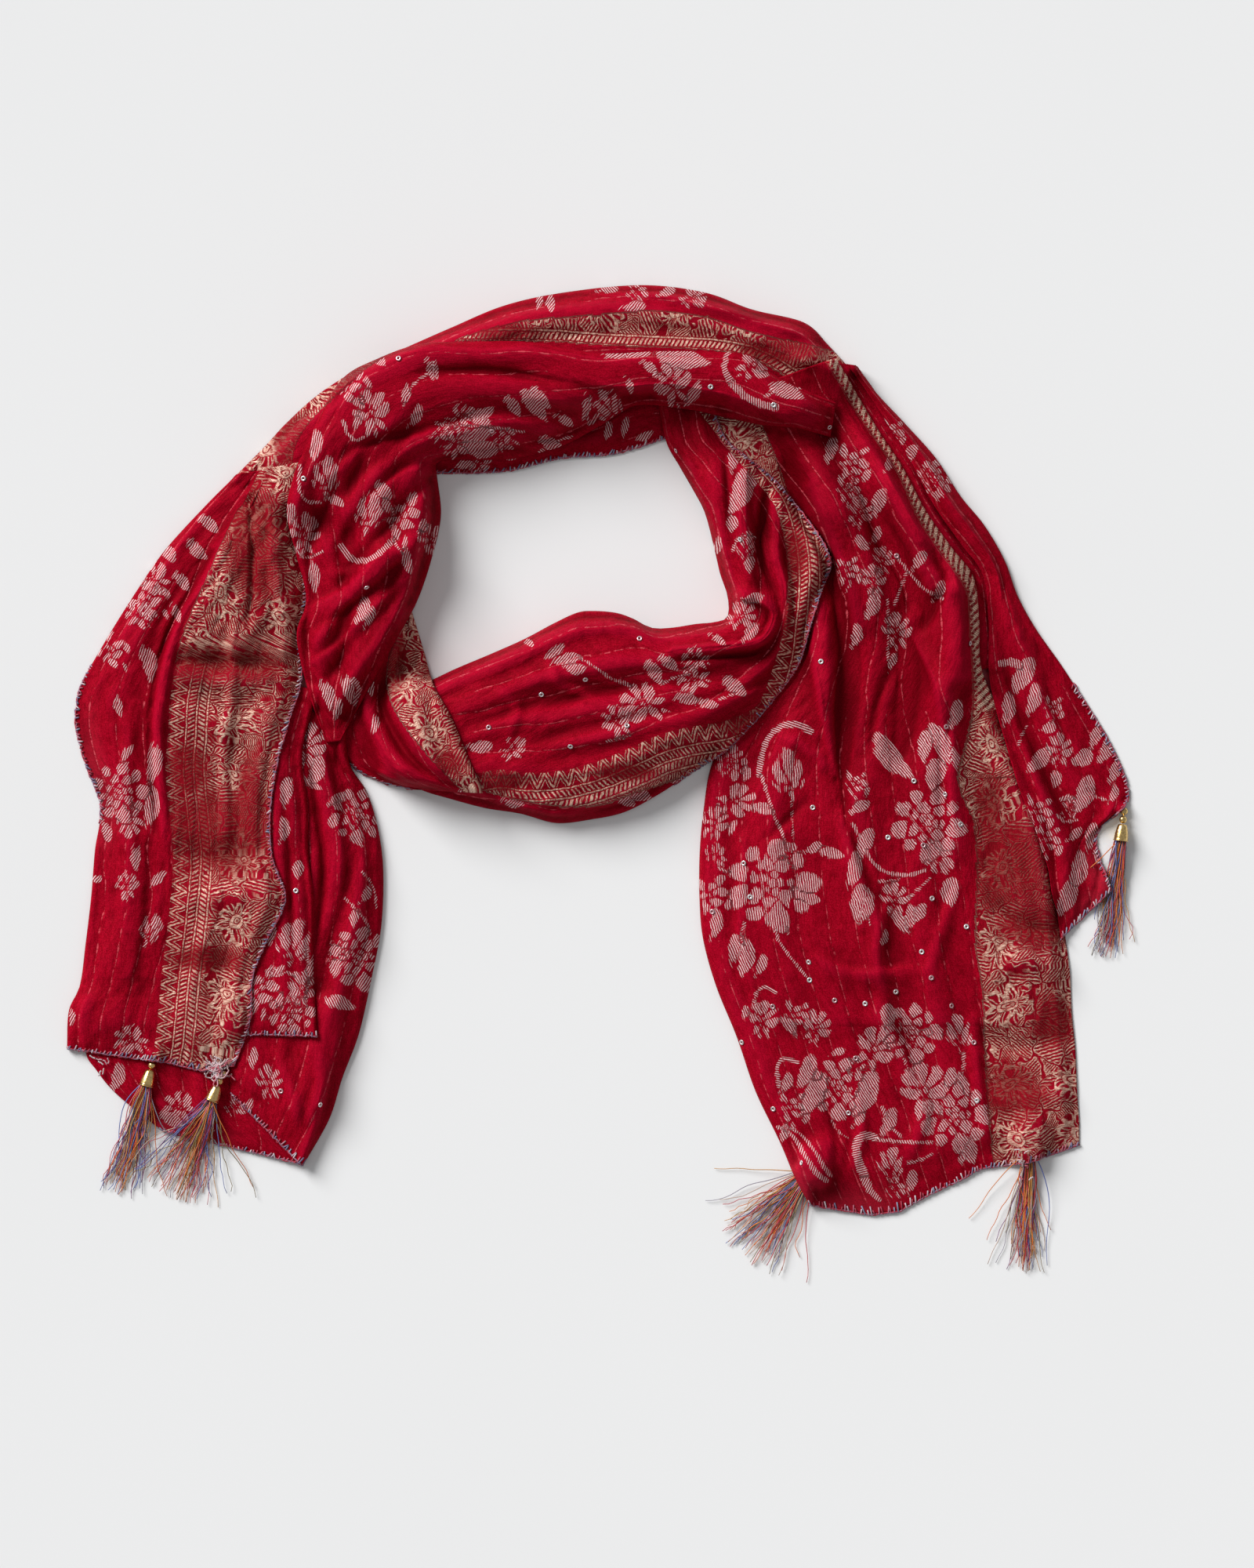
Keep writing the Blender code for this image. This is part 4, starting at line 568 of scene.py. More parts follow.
stretch(
    "left_tail_front", held="laid", rests_on=["left_tail_middle", "layers_left_tail"],
    loft=4, gather=1,
    sections=(
        (-195, 166, -159, 172), (-211, 150, -160, 151), (-233, 126, -159, 126), (-249, 103, -157, 101),
        (-267, 74, -160, 79), (-279, 51, -160, 55), (-281, 31, -166, 34), (-276, 11, -172, 12),
        (-268, -12, -176, -15), (-271, -36, -175, -39), (-273, -61, -168, -61), (-276, -86, -178, -84),
        (-279, -108, -186, -104), (-285, -122, -187, -126), (-286, -142, -196, -151),
    ),
    folds=(
        (1.2, 0.48, 5.2, 0.37, 6, 5, 18), (4.8, 0.37, 9, 0.41, 4, 5, 18), (2, 0.16, 8, 0.14, 3, 8, 8),
        (2, 0.72, 7, 0.7, 3, 9, 9), (8, 0.7, 13, 0.66, 2.5, 11, 11), (8.5, 0.24, 13.5, 0.24, 2.5, 10, 10),
    ),
    waves=((0, 0), (0.3, 1), (0.6, 2), (0.83, 5), (1, 0)),
    rolls=(((0, 4), (4, 3), (5, 0), (8, 0), (9, 2.5)), ((0, 3), (2, 0))),
    creases=(
        (3, 2, 5, 290, 700, 262, 745, 236, 783, 219, 828, 210, 880, 203, 940, 211, 1056),
        (-3, 3, 2, 272, 705, 244, 752, 222, 790, 206, 835, 196, 890, 192, 950, 200, 1060),
        (3, 6, 6, 232, 862, 290, 868, 350, 868), (-3.5, 6, 5, 225, 842, 285, 846, 360, 850),
        (2.5, 9, 9, 222, 905, 290, 925, 350, 915), (-3, 10, 9, 222, 1085, 280, 1092, 340, 1085),
        (2.5, 8, 8, 226, 1150, 285, 1142, 345, 1140), (-1.8, 8, 8, 215, 1225, 270, 1232, 320, 1215),
        (2.4, 3, 3, 300, 790, 296, 880, 286, 960, 288, 1060), (-2, 3, 2, 318, 640, 322, 720, 316, 800),
        (3, 4, 3, 330, 600, 348, 660, 352, 740, 366, 800),
        (2.5, 4, 4, 290, 610, 240, 680, 190, 750, 150, 820),
        (-2, 4, 4, 300, 650, 255, 715, 215, 770, 185, 840),
        (1.8, 4, 4, 170, 900, 160, 980, 166, 1080, 160, 1180),
        (-1.6, 4, 3, 190, 1080, 186, 1160, 176, 1250), (1.4, 3, 4, 110, 1120, 116, 1200, 104, 1290),
        (1.5, 5, 5, 240, 1290, 250, 1240, 262, 1180),
    ),
    borders=(
        (
            (392, 500, 372, 530, 350, 568, 331, 600, 311, 641, 300, 656, 268, 730, 239, 796, 229, 828, 223,
             853, 216, 891, 213, 939, 210, 987, 219, 1089, 213, 1170, 204, 1240, 190, 1355, 150, 1420),
            None,
            ((3.9, 26), (4.5, 0)),
        ),
    ),
    dull=(
        (285, 850, 75, 20), (280, 1062, 75, 48), (325, 690, 30, 70), (240, 980, 22, 30),
        (260, 1225, 40, 14), (318, 1010, 14, 40),
    ),
    shade=((300, 690, 26, 60, 0.3), (240, 780, 12, 60, 0.3), (345, 850, 14, 60, 0.3)),
    sheer=((140, 980, 40, 90),),
    motifs=(
        ("leaf", 266, 668, -50, 15, 55), ("leaf", 251, 701, -45, 16, 55), ("petal", 215, 706, -45, 11, 55),
        ("bloom", 196, 738, -45, 24, 55), ("cluster", 190, 764, -40, 26, 55),
        ("bloom", 178, 785, -40, 20, 55), ("cluster", 143, 830, -30, 22, 60),
        ("leaf", 189, 846, -15, 20, 72), ("leaf", 225, 782, -25, 11, 60), ("leaf", 232, 742, -40, 14, 55),
        ("rose", 152, 1010, 0, 30, 55), ("leaf", 161, 962, 30, 10, 75), ("bloom", 166, 1046, 190, 20, 60),
        ("leaf", 134, 1060, 160, 13, 50), ("leaf", 196, 975, 10, 22, 65), ("leaf", 193, 1030, 10, 22, 100),
        ("leaf", 173, 1094, 0, 14, 55), ("bloom", 162, 1131, 0, 17, 55), ("leaf", 200, 1122, 45, 11, 60),
        ("tulip", 193, 1186, 20, 17, 62), ("petal", 121, 1121, 80, 6, 50),
        ("bloom", 168, 1328, -60, 22, 52), ("leaf", 90, 1298, 0, 8, 60), ("leaf", 150, 900, -15, 12, 70),
    ),
    stems=((1.6, 1.6, 180, 1190, 186, 1200, 184, 1208), (1.8, 1.8, 196, 955, 192, 985, 190, 1000)),
)
stretch(
    "top_arc_front", held="folded", rests_on=["layers_top_arc", "left_tail_front", "front_loop"],
    loft=4.2, gather=1.2,
    sections=(
        (-146, 22, -139, 23), (-156, 50, -125, 48), (-162, 79, -106, 82), (-157, 99, -97, 100),
        (-162, 122, -90, 121), (-167, 145, -85, 144), (-163, 165, -87, 165), (-157, 180, -87, 172),
        (-149, 197, -80, 174), (-137, 218, -66, 174), (-119, 228, -54, 174), (-98, 235, -43, 175),
        (-72, 236, -31, 178), (-36, 236, -16, 183), (0, 230, 2, 193), (30, 231, 20, 203),
        (58, 231, 46, 201), (80, 229, 70, 196), (97, 217, 88, 192), (112, 210, 105, 190),
        (127, 204, 124, 186),
    ),
    folds=(
        (0.3, 0.3, 6, 0.22, 4, 6, 9), (0.6, 0.64, 7.5, 0.55, 5, 8, 7), (2, 0.88, 6.5, 0.86, 3, 6, 6),
        (6, 0.32, 12, 0.36, 5, 10, 8), (11, 0.4, 18.5, 0.45, 5, 8, 7), (8, 0.72, 13, 0.68, 4, 7, 7),
        (13, 0.42, 15.6, 0.92, 5, 12, 5), (8.5, 0.14, 13, 0.15, 3, 5, 6),
    ),
    rolls=(((0, 0), (2.5, 3), (17, 4), (20, 0.5)), ((0, 0), (2.5, 4), (17, 4), (20, 0.5))),
    creases=(
        (4.5, 8, 6, 500, 452, 600, 446, 700, 450, 800, 466, 900, 492, 1000, 522),
        (-4, 3, 5, 540, 476, 620, 474, 700, 486, 800, 504, 880, 520, 984, 542),
        (3, 4, 4, 500, 520, 560, 498, 640, 498, 720, 512, 790, 525),
        (-2.5, 4, 3, 510, 560, 560, 545, 620, 530, 690, 532),
        (3, 5, 4, 420, 700, 455, 640, 500, 590, 548, 560),
        (-3, 4, 4, 440, 740, 480, 690, 520, 640, 550, 600),
        (3, 4, 4, 400, 830, 440, 770, 490, 720, 535, 690),
        (-2.5, 4, 4, 415, 870, 460, 810, 510, 755, 545, 720),
        (3, 4, 3, 384, 860, 378, 780, 372, 700, 388, 620, 420, 560),
        (-2.5, 3, 3, 392, 830, 388, 760, 398, 690, 430, 620),
        (2.5, 4, 4, 430, 900, 470, 840, 510, 790, 530, 760), (2, 3, 3, 455, 560, 490, 548, 520, 520),
        (-3, 4, 3, 376, 560, 400, 530, 440, 500, 480, 470),
        (2.2, 2.5, 6, 387, 781, 428, 763, 475, 728, 500, 700),
        (2.4, 2.5, 6, 393, 851, 428, 828, 481, 775, 512, 744), (1.8, 2.5, 5, 428, 734, 475, 722, 522, 690),
        (2, 2.5, 6, 463, 652, 510, 611, 557, 590), (-2, 3, 4, 400, 800, 440, 780, 490, 740, 520, 716),
        (-2.2, 4, 3, 420, 600, 450, 575, 490, 560, 540, 548),
    ),
    borders=(
        ((345, 660, 356, 610, 372, 575, 400, 535, 437, 500, 470, 470, 500, 448), None, ((0, 24),)),
    ),
    dull=((390, 580, 60, 130), (450, 480, 60, 60)),
    shade=(
        (392, 600, 12, 60, 0.4), (470, 820, 60, 40, 0.35), (460, 560, 50, 14, 0.35),
        (700, 500, 90, 9, 0.35), (440, 900, 40, 30, 0.5),
    ),
    motifs=(
        ("leaf", 551, 474, -15, 12, 50), ("bloom", 588, 534, 60, 17, 48), ("leaf", 612, 530, 80, 16, 48),
        ("leaf", 612, 538, 110, 14, 48), ("leaf", 655, 520, -38, 14, 48), ("leaf", 682, 518, -40, 22, 46),
        ("leaf", 690, 510, -42, 16, 46), ("leaf", 721, 537, -60, 11, 46), ("bloom", 584, 566, 50, 20, 46),
        ("leaf", 608, 556, 75, 20, 46), ("leaf", 612, 572, 100, 22, 46), ("cluster", 640, 562, -70, 18, 44),
        ("bloom", 563, 553, 60, 14, 48), ("leaf", 704, 566, -65, 16, 44), ("tulip", 777, 519, -35, 20, 42),
        ("leaf", 748, 520, 10, 12, 45), ("leaf", 806, 446, -70, 24, 38), ("leaf", 790, 452, -95, 18, 38),
        ("leaf", 870, 460, -80, 30, 40), ("leaf", 829, 472, -50, 12, 40), ("leaf", 803, 494, -20, 9, 42),
        ("bloom", 858, 494, -15, 27, 44), ("leaf", 884, 503, 30, 14, 44), ("bloom", 960, 468, 55, 24, 130),
        ("leaf", 975, 462, 30, 18, 130), ("leaf", 1003, 501, -70, 22, 40), ("leaf", 484, 458, -35, 14, 55),
        ("cluster", 448, 490, -25, 26, 62), ("bloom", 476, 530, -10, 28, 72),
        ("leaf", 458, 537, 15, 12, 72), ("leaf", 404, 570, 5, 17, 80), ("tulip", 418, 610, -3, 22, 78),
        ("leaf", 429, 640, -65, 12, 76), ("petal", 371, 657, 0, 11, 85), ("bloom", 388, 683, 8, 25, 78),
        ("leaf", 400, 735, -8, 16, 82), ("cluster", 374, 762, 5, 17, 90), ("tulip", 473, 655, 10, 23, 66),
        ("petal", 491, 628, -40, 12, 60), ("cluster", 516, 660, 5, 30, 68), ("bloom", 549, 688, -5, 18, 80),
        ("leaf", 520, 716, -12, 14, 75), ("leaf", 463, 780, 25, 17, 118), ("leaf", 472, 788, 22, 13, 118),
        ("leaf", 531, 534, 30, 13, 105), ("leaf", 519, 506, 10, 11, 60), ("leaf", 556, 474, -12, 10, 60),
        ("leaf", 418, 886, -20, 16, 75), ("leaf", 445, 880, -15, 16, 80), ("leaf", 430, 905, 10, 12, 80),
    ),
    stems=(
        (2, 2, 764, 528, 752, 540, 750, 526, 754, 508), (2.4, 4.2, 932, 446, 926, 458, 924, 474, 932, 490),
        (4.2, 4.2, 932, 490, 950, 508, 970, 518, 988, 522), (1.8, 1.8, 975, 508, 996, 500, 1022, 496),
        (2.2, 2, 440, 540, 446, 556, 456, 564, 466, 560), (2, 2, 385, 596, 383, 622, 392, 640, 410, 642),
        (3.4, 3.4, 436, 697, 448, 712, 466, 716, 484, 708, 500, 692),
        (1.6, 1.6, 546, 480, 530, 492, 520, 510, 516, 522),
        (1.6, 1.6, 560, 543, 600, 545, 640, 548, 668, 552), (1.5, 1.5, 688, 576, 712, 562, 730, 556),
        (1.8, 1.8, 376, 700, 392, 712, 412, 704), (1.6, 1.6, 502, 650, 504, 690, 516, 708),
        (1.5, 1.5, 838, 482, 850, 476, 862, 474), (3, 3, 446, 876, 452, 868, 458, 880, 452, 898),
    ),
)

# Sequins, by pixel
SEQUINS = (
    (986, 519), (628, 551), (1058, 545), (906, 496), (863, 574), (1037, 1030), (1166, 996), (1206, 927),
    (1206, 1013), (957, 1144), (909, 1163), (949, 1101), (1133, 1068), (1178, 1078), (1189, 1146),
    (1176, 1214), (1188, 1247), (1143, 1265), (1104, 1280), (1065, 1276), (1032, 1227), (1033, 1250),
    (986, 1284), (1225, 1051), (1233, 1182), (1214, 1283), (947, 1330), (1023, 1483), (1243, 1330),
    (987, 1415), (1247, 1404), (1092, 1350), (1083, 1420), (944, 689), (1144, 709), (1237, 821),
    (1047, 844), (816, 815), (747, 867), (691, 886), (624, 928), (800, 926), (728, 952), (358, 1392),
    (408, 1409), (378, 1136), (510, 460), (389, 612), (469, 750),
)

# Petals of each kind of motif: group, distance and bearing of its middle, turn, length, width and
# point; lengths are shares of the motif's size. Petals of one group don't touch.
PETALS = {
    "leaf": [(4, 0, 0, 0, 1.0, 0.42, 1.3)],
    "petal": [(3, 0, 0, 0, 1.0, 0.60, 1.8)],
    "tulip": [
        (0, 0.16, 8, 4, 0.70, 0.34, 1.5), (1, 0.15, -92, -14, 0.66, 0.30, 1.6),
        (2, 0.16, 96, 16, 0.62, 0.28, 1.6), (3, 0.27, -160, -50, 0.30, 0.20, 1.5),
        (4, 0.30, 128, 22, 0.40, 0.13, 1.4), (5, 0.40, 184, -8, 0.28, 0.12, 1.4),
        (3, 0.34, -120, -24, 0.36, 0.10, 1.4),
    ],
    "bloom": [
        *((n % 3, reach, turn, turn * 0.8, 0.44, 0.27, 1.5)
          for n, (turn, reach) in enumerate((
              (-84, 0.17), (-44, 0.24), (-6, 0.27), (36, 0.22), (80, 0.18)))),
        (3, 0.02, 0, 40, 0.20, 0.17, 1.8), (4, 0.24, 200, 22, 0.40, 0.19, 1.4),
        (5, 0.27, 152, -42, 0.34, 0.15, 1.4), (3, 0.36, 178, 2, 0.26, 0.09, 1.4),
    ],
    "cluster": [
        *((n % 4, (0.30, 0.19, 0.36, 0.16)[n % 4], 47 * n + 17, (47 * n + 17) * 1.7, 0.34, 0.18, 1.5)
          for n in range(8)),
        (4, 0.04, 0, 25, 0.20, 0.14, 2.0), (5, 0.47, 172, 8, 0.30, 0.11, 1.4),
    ],
    "rose": [
        (5, 0, 0, 20, 0.14, 0.12, 2.0),
        *((n % 2 if n < 4 else 5, 0.11, 72 * n + 12, 72 * n + 90, 0.20, 0.12, 1.8) for n in range(5)),
        *((2 + n % 2 if n < 6 else 4, 0.235, 51.4 * n + 31, 51.4 * n + 31 + twist,
           0.27 * grow, 0.20 * grow, 1.6) for n, (twist, grow) in enumerate((
              (30, 1.0), (-22, 0.85), (8, 1.15), (36, 0.9), (-14, 1.1), (20, 0.8), (-30, 1.05)))),
        *(((0, 1, 4)[n % 3], 0.385, 40 * n + 8, 40 * n + 8 + twist, 0.33 * grow, 0.24 * grow, 1.5)
          for n, (twist, grow) in enumerate((
              (14, 1.0), (-26, 0.75), (20, 1.2), (-12, 0.85), (6, 1.25), (30, 0.8), (-18, 1.1), (10, 0.95),
              (-8, 0.8)))),
    ],
}


def at_pixels(pixels):
    """Plan millimetres of places named by their pixels."""
    return (PIXEL_LEFT, PIXEL_TOP) + np.reshape(pixels, (-1, 2)) * (MM_PER_PIXEL, -MM_PER_PIXEL)


def in_scene(points):
    """Metres in the scene of points in plan millimetres."""
    points = np.array(points, float)
    points[..., :2] -= CENTRE
    return points * MM


def soft_step(value):
    value = np.clip(value, 0, 1)
    return value * value * (3 - 2 * value)


def unit(vectors, least=1e-9):
    """Vectors brought to length 1."""
    return vectors / np.maximum(np.linalg.norm(vectors, axis=-1, keepdims=True), least)


def run_along(points):
    """Distance along a line, at each of its points."""
    return np.concatenate([[0], np.cumsum(np.linalg.norm(np.diff(points, axis=0), axis=1))])


def smooth_row(points, at):
    """Points read from a smooth curve through evenly numbered points (Catmull-Rom)."""
    points = np.asarray(points, float)
    padded = np.vstack([2 * points[0] - points[1], points, 2 * points[-1] - points[-2]])
    start = np.clip(np.floor(at).astype(int), 0, len(points) - 2)
    q = (np.asarray(at) - start)[:, None]
    before, here, there, after = (padded[start + k] for k in range(4))
    slope_here = (there - before) / 2
    slope_there = (after - here) / 2
    return (here * (1 + 2 * q) * (1 - q) ** 2 + there * q * q * (3 - 2 * q)
            + slope_here * q * (1 - q) ** 2 - slope_there * q * q * (1 - q))


def smooth_line(pixels, steps=4):
    """A smooth line through places named by their pixels."""
    points = at_pixels(pixels)
    last = len(points) - 1
    return smooth_row(points, np.linspace(0, last, last * steps + 1))


def middle_run(edges):
    """Distance along the middle line between two edges."""
    return run_along((edges[:, :2] + edges[:, 2:]) / 2)


def between(edges, share):
    """Plan positions at a share of the way from the a edge to the b edge."""
    return edges[..., :2] + (edges[..., 2:] - edges[..., :2]) * share


def read_table(rows, at):
    """Second column of rows, at values of the first."""
    return np.interp(at, *zip(*rows))


def hem_shift(plan, shares, waves, reach=50.0):
    """Move the last rows outwards along the stretch, by the hem's waves."""
    run = run_along(plan.mean(axis=1))
    share_left = np.clip(1 - (run[-1] - run) / reach, 0, 1) ** 2
    out = unit(plan[-1] - plan[-2]) * read_table(waves, shares)[:, None]
    return plan + share_left[:, None, None] * out


def bilinear(grid, row, column, down, right):
    low = grid[row, column] * (1 - right) + grid[row, column + 1] * right
    high = grid[row + 1, column] * (1 - right) + grid[row + 1, column + 1] * right
    return low * (1 - down) + high * down


def lattice_noise(places, grain, seed):
    """Smooth noise from -1 to 1 at plan places, with this grain in millimetres."""
    lattice = np.random.default_rng(seed).uniform(-1, 1, (256, 256))
    at = places / grain + 128
    cell = np.floor(at).astype(int)
    x, y = np.moveaxis(cell % 255, -1, 0)
    right, down = np.moveaxis(soft_step(at - cell), -1, 0)
    return bilinear(lattice, y, x, down, right)


def uneven(places, layers, shape=np.positive):
    """Noise in layers, each with its depth, its grain across and along, and its seed."""
    return sum(depth * shape(lattice_noise(places, (across, along), seed))
               for depth, across, along, seed in layers)


def beside_line(places, line):
    """Distance to a line of points, distance along it, and side: 1 to its left, -1 to its right."""
    places = places.reshape(-1, 2)
    best = np.full(len(places), np.inf)
    along = np.zeros(len(places))
    side = np.ones(len(places))
    run = 0.0
    for start, end in zip(line[:-1], line[1:]):
        length = np.hypot(*(end - start))
        if length < 1e-9:
            continue
        step = (end - start) / length
        offset = places - start
        share = np.clip(offset @ step, 0, length)
        gap = ((offset - share[:, None] * step) ** 2).sum(axis=1)
        nearer = gap < best
        best[nearer] = gap[nearer]
        along[nearer] = run + share[nearer]
        side[nearer] = np.sign(step[0] * offset[nearer, 1] - step[1] * offset[nearer, 0] + 1e-12)
        run += length
    return np.sqrt(best), along, side, run


def near_line(plan, line, reach):
    return ((plan >= line.min(axis=0) - reach) & (plan <= line.max(axis=0) + reach)).all(axis=2)


def ridge(plan, line, height, left, right):
    """A soft ridge or trough along a line, with its own width on each side, tapered at both ends."""
    lift = np.zeros(plan.shape[:2])
    near = near_line(plan, line, 2.6 * max(left, right))
    if near.any():
        distance, along, side, length = beside_line(plan[near], line)
        width = np.where(side > 0, left, right)
        taper = np.sqrt(np.clip(np.sin(np.pi * (0.04 + 0.92 * along / length)), 0, 1))
        lift[near] = height * taper * np.exp(-(distance / width) ** 2)
    return lift


class Ground:
    """Height map of everything laid on the table so far."""

    def __init__(self):
        columns, rows = (np.subtract(GROUND_HIGH, GROUND_LOW) / GROUND_STEP).astype(int) + 1
        self.height = np.zeros((rows, columns))

    def raise_to(self, points):
        cell = np.rint((points[..., :2] - GROUND_LOW) / GROUND_STEP).astype(int)
        np.maximum.at(self.height, (cell[..., 1], cell[..., 0]), points[..., 2])

    def add_node(self, node):
        """Mark a node of the part, by places spread over its triangles."""
        mesh = node.data
        mesh.calc_loop_triangles()
        corners = np.zeros(len(mesh.loop_triangles) * 3, np.int32)
        mesh.loop_triangles.foreach_get("vertices", corners)
        points = np.zeros(len(mesh.vertices) * 3)
        mesh.vertices.foreach_get("co", points)
        points = points.reshape(-1, 3) / MM
        points[:, :2] += CENTRE
        for triangle in points[corners.reshape(-1, 3)]:
            longest = max(np.hypot(*(triangle[k, :2] - triangle[k - 1, :2])) for k in range(3))
            steps = np.linspace(0, 1, int(longest / 0.6) + 2)
            u, v = np.meshgrid(steps, steps)
            inside = u + v <= 1.0001
            u, v = u[inside][:, None], v[inside][:, None]
            self.raise_to(triangle[0] * (1 - u - v) + triangle[1] * u + triangle[2] * v)

    @staticmethod
    def read(height, plan):
        """Heights between the map's places."""
        at = (plan - GROUND_LOW) / GROUND_STEP
        cell = np.floor(at).astype(int)
        share = at - cell
        return bilinear(height, cell[..., 1], cell[..., 0], share[..., 1], share[..., 0])

    @staticmethod
    def spread(height, cells, pick):
        """Largest or smallest height within a square of cells, by the function pick."""
        for axis in (0, 1):
            wide = height
            for shift in range(1, cells + 1):
                wide = pick(wide, np.roll(height, shift, axis))
                wide = pick(wide, np.roll(height, -shift, axis))
            height = wide
        return height

    @staticmethod
    def blur(height, cells):
        for axis in (0, 1, 0, 1):
            height = sum(np.roll(height, k, axis) for k in range(-cells, cells + 1)) / (2 * cells + 1)
        return height

    def local(self):
        return self.blur(self.spread(self.height, 2, np.maximum), 1)

    def draped(self):
        cells = round(BRIDGE / GROUND_STEP)
        closed = self.spread(self.spread(self.height, cells, np.maximum), cells, np.minimum)
        return self.blur(self.spread(closed, 7, np.maximum), 4)


def petal_shapes(kind, size, number, right, up):
    """Distance inside each petal of a motif, at places right of its middle and up from it."""
    shapes = []
    for order, (_, reach, bearing, turn, length, width, point) in enumerate(PETALS[kind]):
        bearing, turn = math.radians(bearing), math.radians(turn)
        x = right - reach * size * math.sin(bearing)
        y = up - reach * size * math.cos(bearing)
        width = width * size
        share = (x * math.sin(turn) + y * math.cos(turn)) / (length * size / 2)
        across = x * math.cos(turn) - y * math.sin(turn)
        bend = (0.10, -0.16, 0.22, -0.06, 0.16)[(number + order) % 5]
        across = across + bend * width * (share ** 2 - 0.4)
        half = width / 2 * np.clip(1 + 0.25 * share, 0.4, 1.6)
        shapes.append(width / 2 * (1 - np.sqrt(np.abs(share) ** point + (across / half) ** 2)))
    return np.array(shapes)


def motif_fields(plan, motifs, stems):
    """Distance inside the motifs at plan places, in six groups, and the way along each hatch."""
    field = np.full(plan.shape[:2] + (6,), NO_MOTIF)
    hatch = np.zeros(plan.shape[:2])
    nearest = np.full(plan.shape[:2], NO_MOTIF - 1)

    def take(group, near, distance, phase):
        distance = np.clip(distance, NO_MOTIF, -NO_MOTIF)
        field[..., group][near] = np.maximum(field[..., group][near], distance)
        better = distance > nearest[near]
        hatch[near] = np.where(better, phase, hatch[near])
        nearest[near] = np.where(better, distance, nearest[near])

    for number, (kind, x, y, turn, size, way) in enumerate(motifs):
        offset = plan - at_pixels((x, y))
        near = np.hypot(offset[..., 0], offset[..., 1]) < 0.7 * size + 4
        if not near.any():
            continue
        # Threads lie unevenly, so edges of woven shapes waver a little
        waver = np.stack([lattice_noise(plan[near], 2.4, seed) for seed in (71, 72)], axis=-1)
        places = offset[near] + 0.35 * waver
        turn, way = math.radians(turn), math.radians(way)
        right = places @ (math.cos(turn), -math.sin(turn))
        up = places @ (math.sin(turn), math.cos(turn))
        phase = places @ (-math.sin(way), math.cos(way))
        shapes = petal_shapes(kind, size, number, right, up)
        for order, distance in enumerate(shapes):
            if len(shapes) > 1:
                others = np.delete(shapes, order, axis=0).max(axis=0)
                distance = np.minimum(distance, (distance - others) / 2 - 0.42)
            take((PETALS[kind][order][0] + number) % 6, near, distance, phase)
    for width_from, width_to, *pixels in stems:
        line = smooth_line(pixels)
        near = near_line(plan, line, 8)
        if near.any():
            distance, along, _, length = beside_line(plan[near], line)
            half = (width_from + (width_to - width_from) * along / length) / 2
            x, y = unit(line[-1] - line[0])
            slant = np.array([x - 0.6 * y, y + 0.6 * x]) / math.hypot(1, 0.6)
            take(5, near, half - distance, (plan[near] - line[0]) @ slant)
    return field, hatch


def mesh_of(name, points, faces, tints=None):
    """A smooth mesh of points in plan millimetres, with a colour for each point if given."""
    mesh = bpy.data.meshes.new(name)
    mesh.from_pydata(in_scene(points).tolist(), [], faces)
    mesh.polygons.foreach_set("use_smooth", np.ones(len(mesh.polygons), bool))
    if tints is not None:
        layer = mesh.attributes.new("tint", "FLOAT_COLOR", "POINT")
        layer.data.foreach_set("color", np.insert(np.array(tints, float), 3, 1.0, axis=1).ravel())
    mesh.update()
    return mesh


def circle(sides, first, second):
    """Unit spokes around the axis that first and second stand square on."""
    turns = 2 * math.pi * np.arange(sides) / sides
    return np.cos(turns)[:, None] * first[..., None, :] + np.sin(turns)[:, None] * second[..., None, :]


def ring_faces(first, rings, sides, closed=False):
    """Faces between neighbouring rings of points, and from the last to the first if closed."""
    faces = []
    for ring in range(rings if closed else rings - 1):
        here, there = first + ring * sides, first + (ring + 1) % rings * sides
        for k in range(sides):
            n = (k + 1) % sides
            faces.append((here + k, here + n, there + n, there + k))
    return faces


def sheet_faces(rows, columns, clockwise):
    """Faces of a closed shell, with a fine grid of points on top and a coarse one beneath."""
    number = np.arange(rows * columns).reshape(rows, columns)
    shape = ((rows - 1) // UNDER_STEP + 1, (columns - 1) // UNDER_STEP + 1)
    below = rows * columns + np.arange(shape[0] * shape[1]).reshape(shape)
    quads = np.concatenate([
        np.stack([grid[:-1, :-1], grid[1:, :-1], grid[1:, 1:], grid[:-1, 1:]], axis=-1).reshape(-1, 4)
        for grid in (number, below.T)])
    triangles = []
    half = UNDER_STEP // 2
    for upper, lower in ((number[0, :], below[0, :]), (number[:, -1], below[:, -1]),
                         (number[-1, ::-1], below[-1, ::-1]), (number[::-1, 0], below[::-1, 0])):
        for k in range(len(lower) - 1):
            part = upper[k * UNDER_STEP:(k + 1) * UNDER_STEP + 1]
            triangles += [(part[i], part[i + 1], lower[k + (i >= half)]) for i in range(UNDER_STEP)]
            triangles.append((part[half], lower[k + 1], lower[k]))
    turn = -1 if clockwise else 1
    return quads[:, ::turn].tolist() + np.array(triangles)[:, ::turn].tolist()


def set_values(mesh, name, beneath, *layers):
    """Store three values for each vertex of the top, and one triple for all beneath."""
    flat = np.dstack(layers).reshape(-1, 3)
    rest = np.tile(np.array(beneath, float), (len(mesh.vertices) - len(flat), 1))
    layer = mesh.attributes.new(name, "FLOAT_VECTOR", "POINT")
    layer.data.foreach_set("vector", np.concatenate([flat, rest]).astype(np.float32).ravel())


def add_object(mesh, material, replaced=()):
    thing = bpy.data.objects.new(mesh.name, mesh)
    bpy.context.scene.collection.objects.link(thing)
    mesh.materials.append(material)
    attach(thing, "root")
    if replaced:
        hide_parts(*replaced)
    return thing


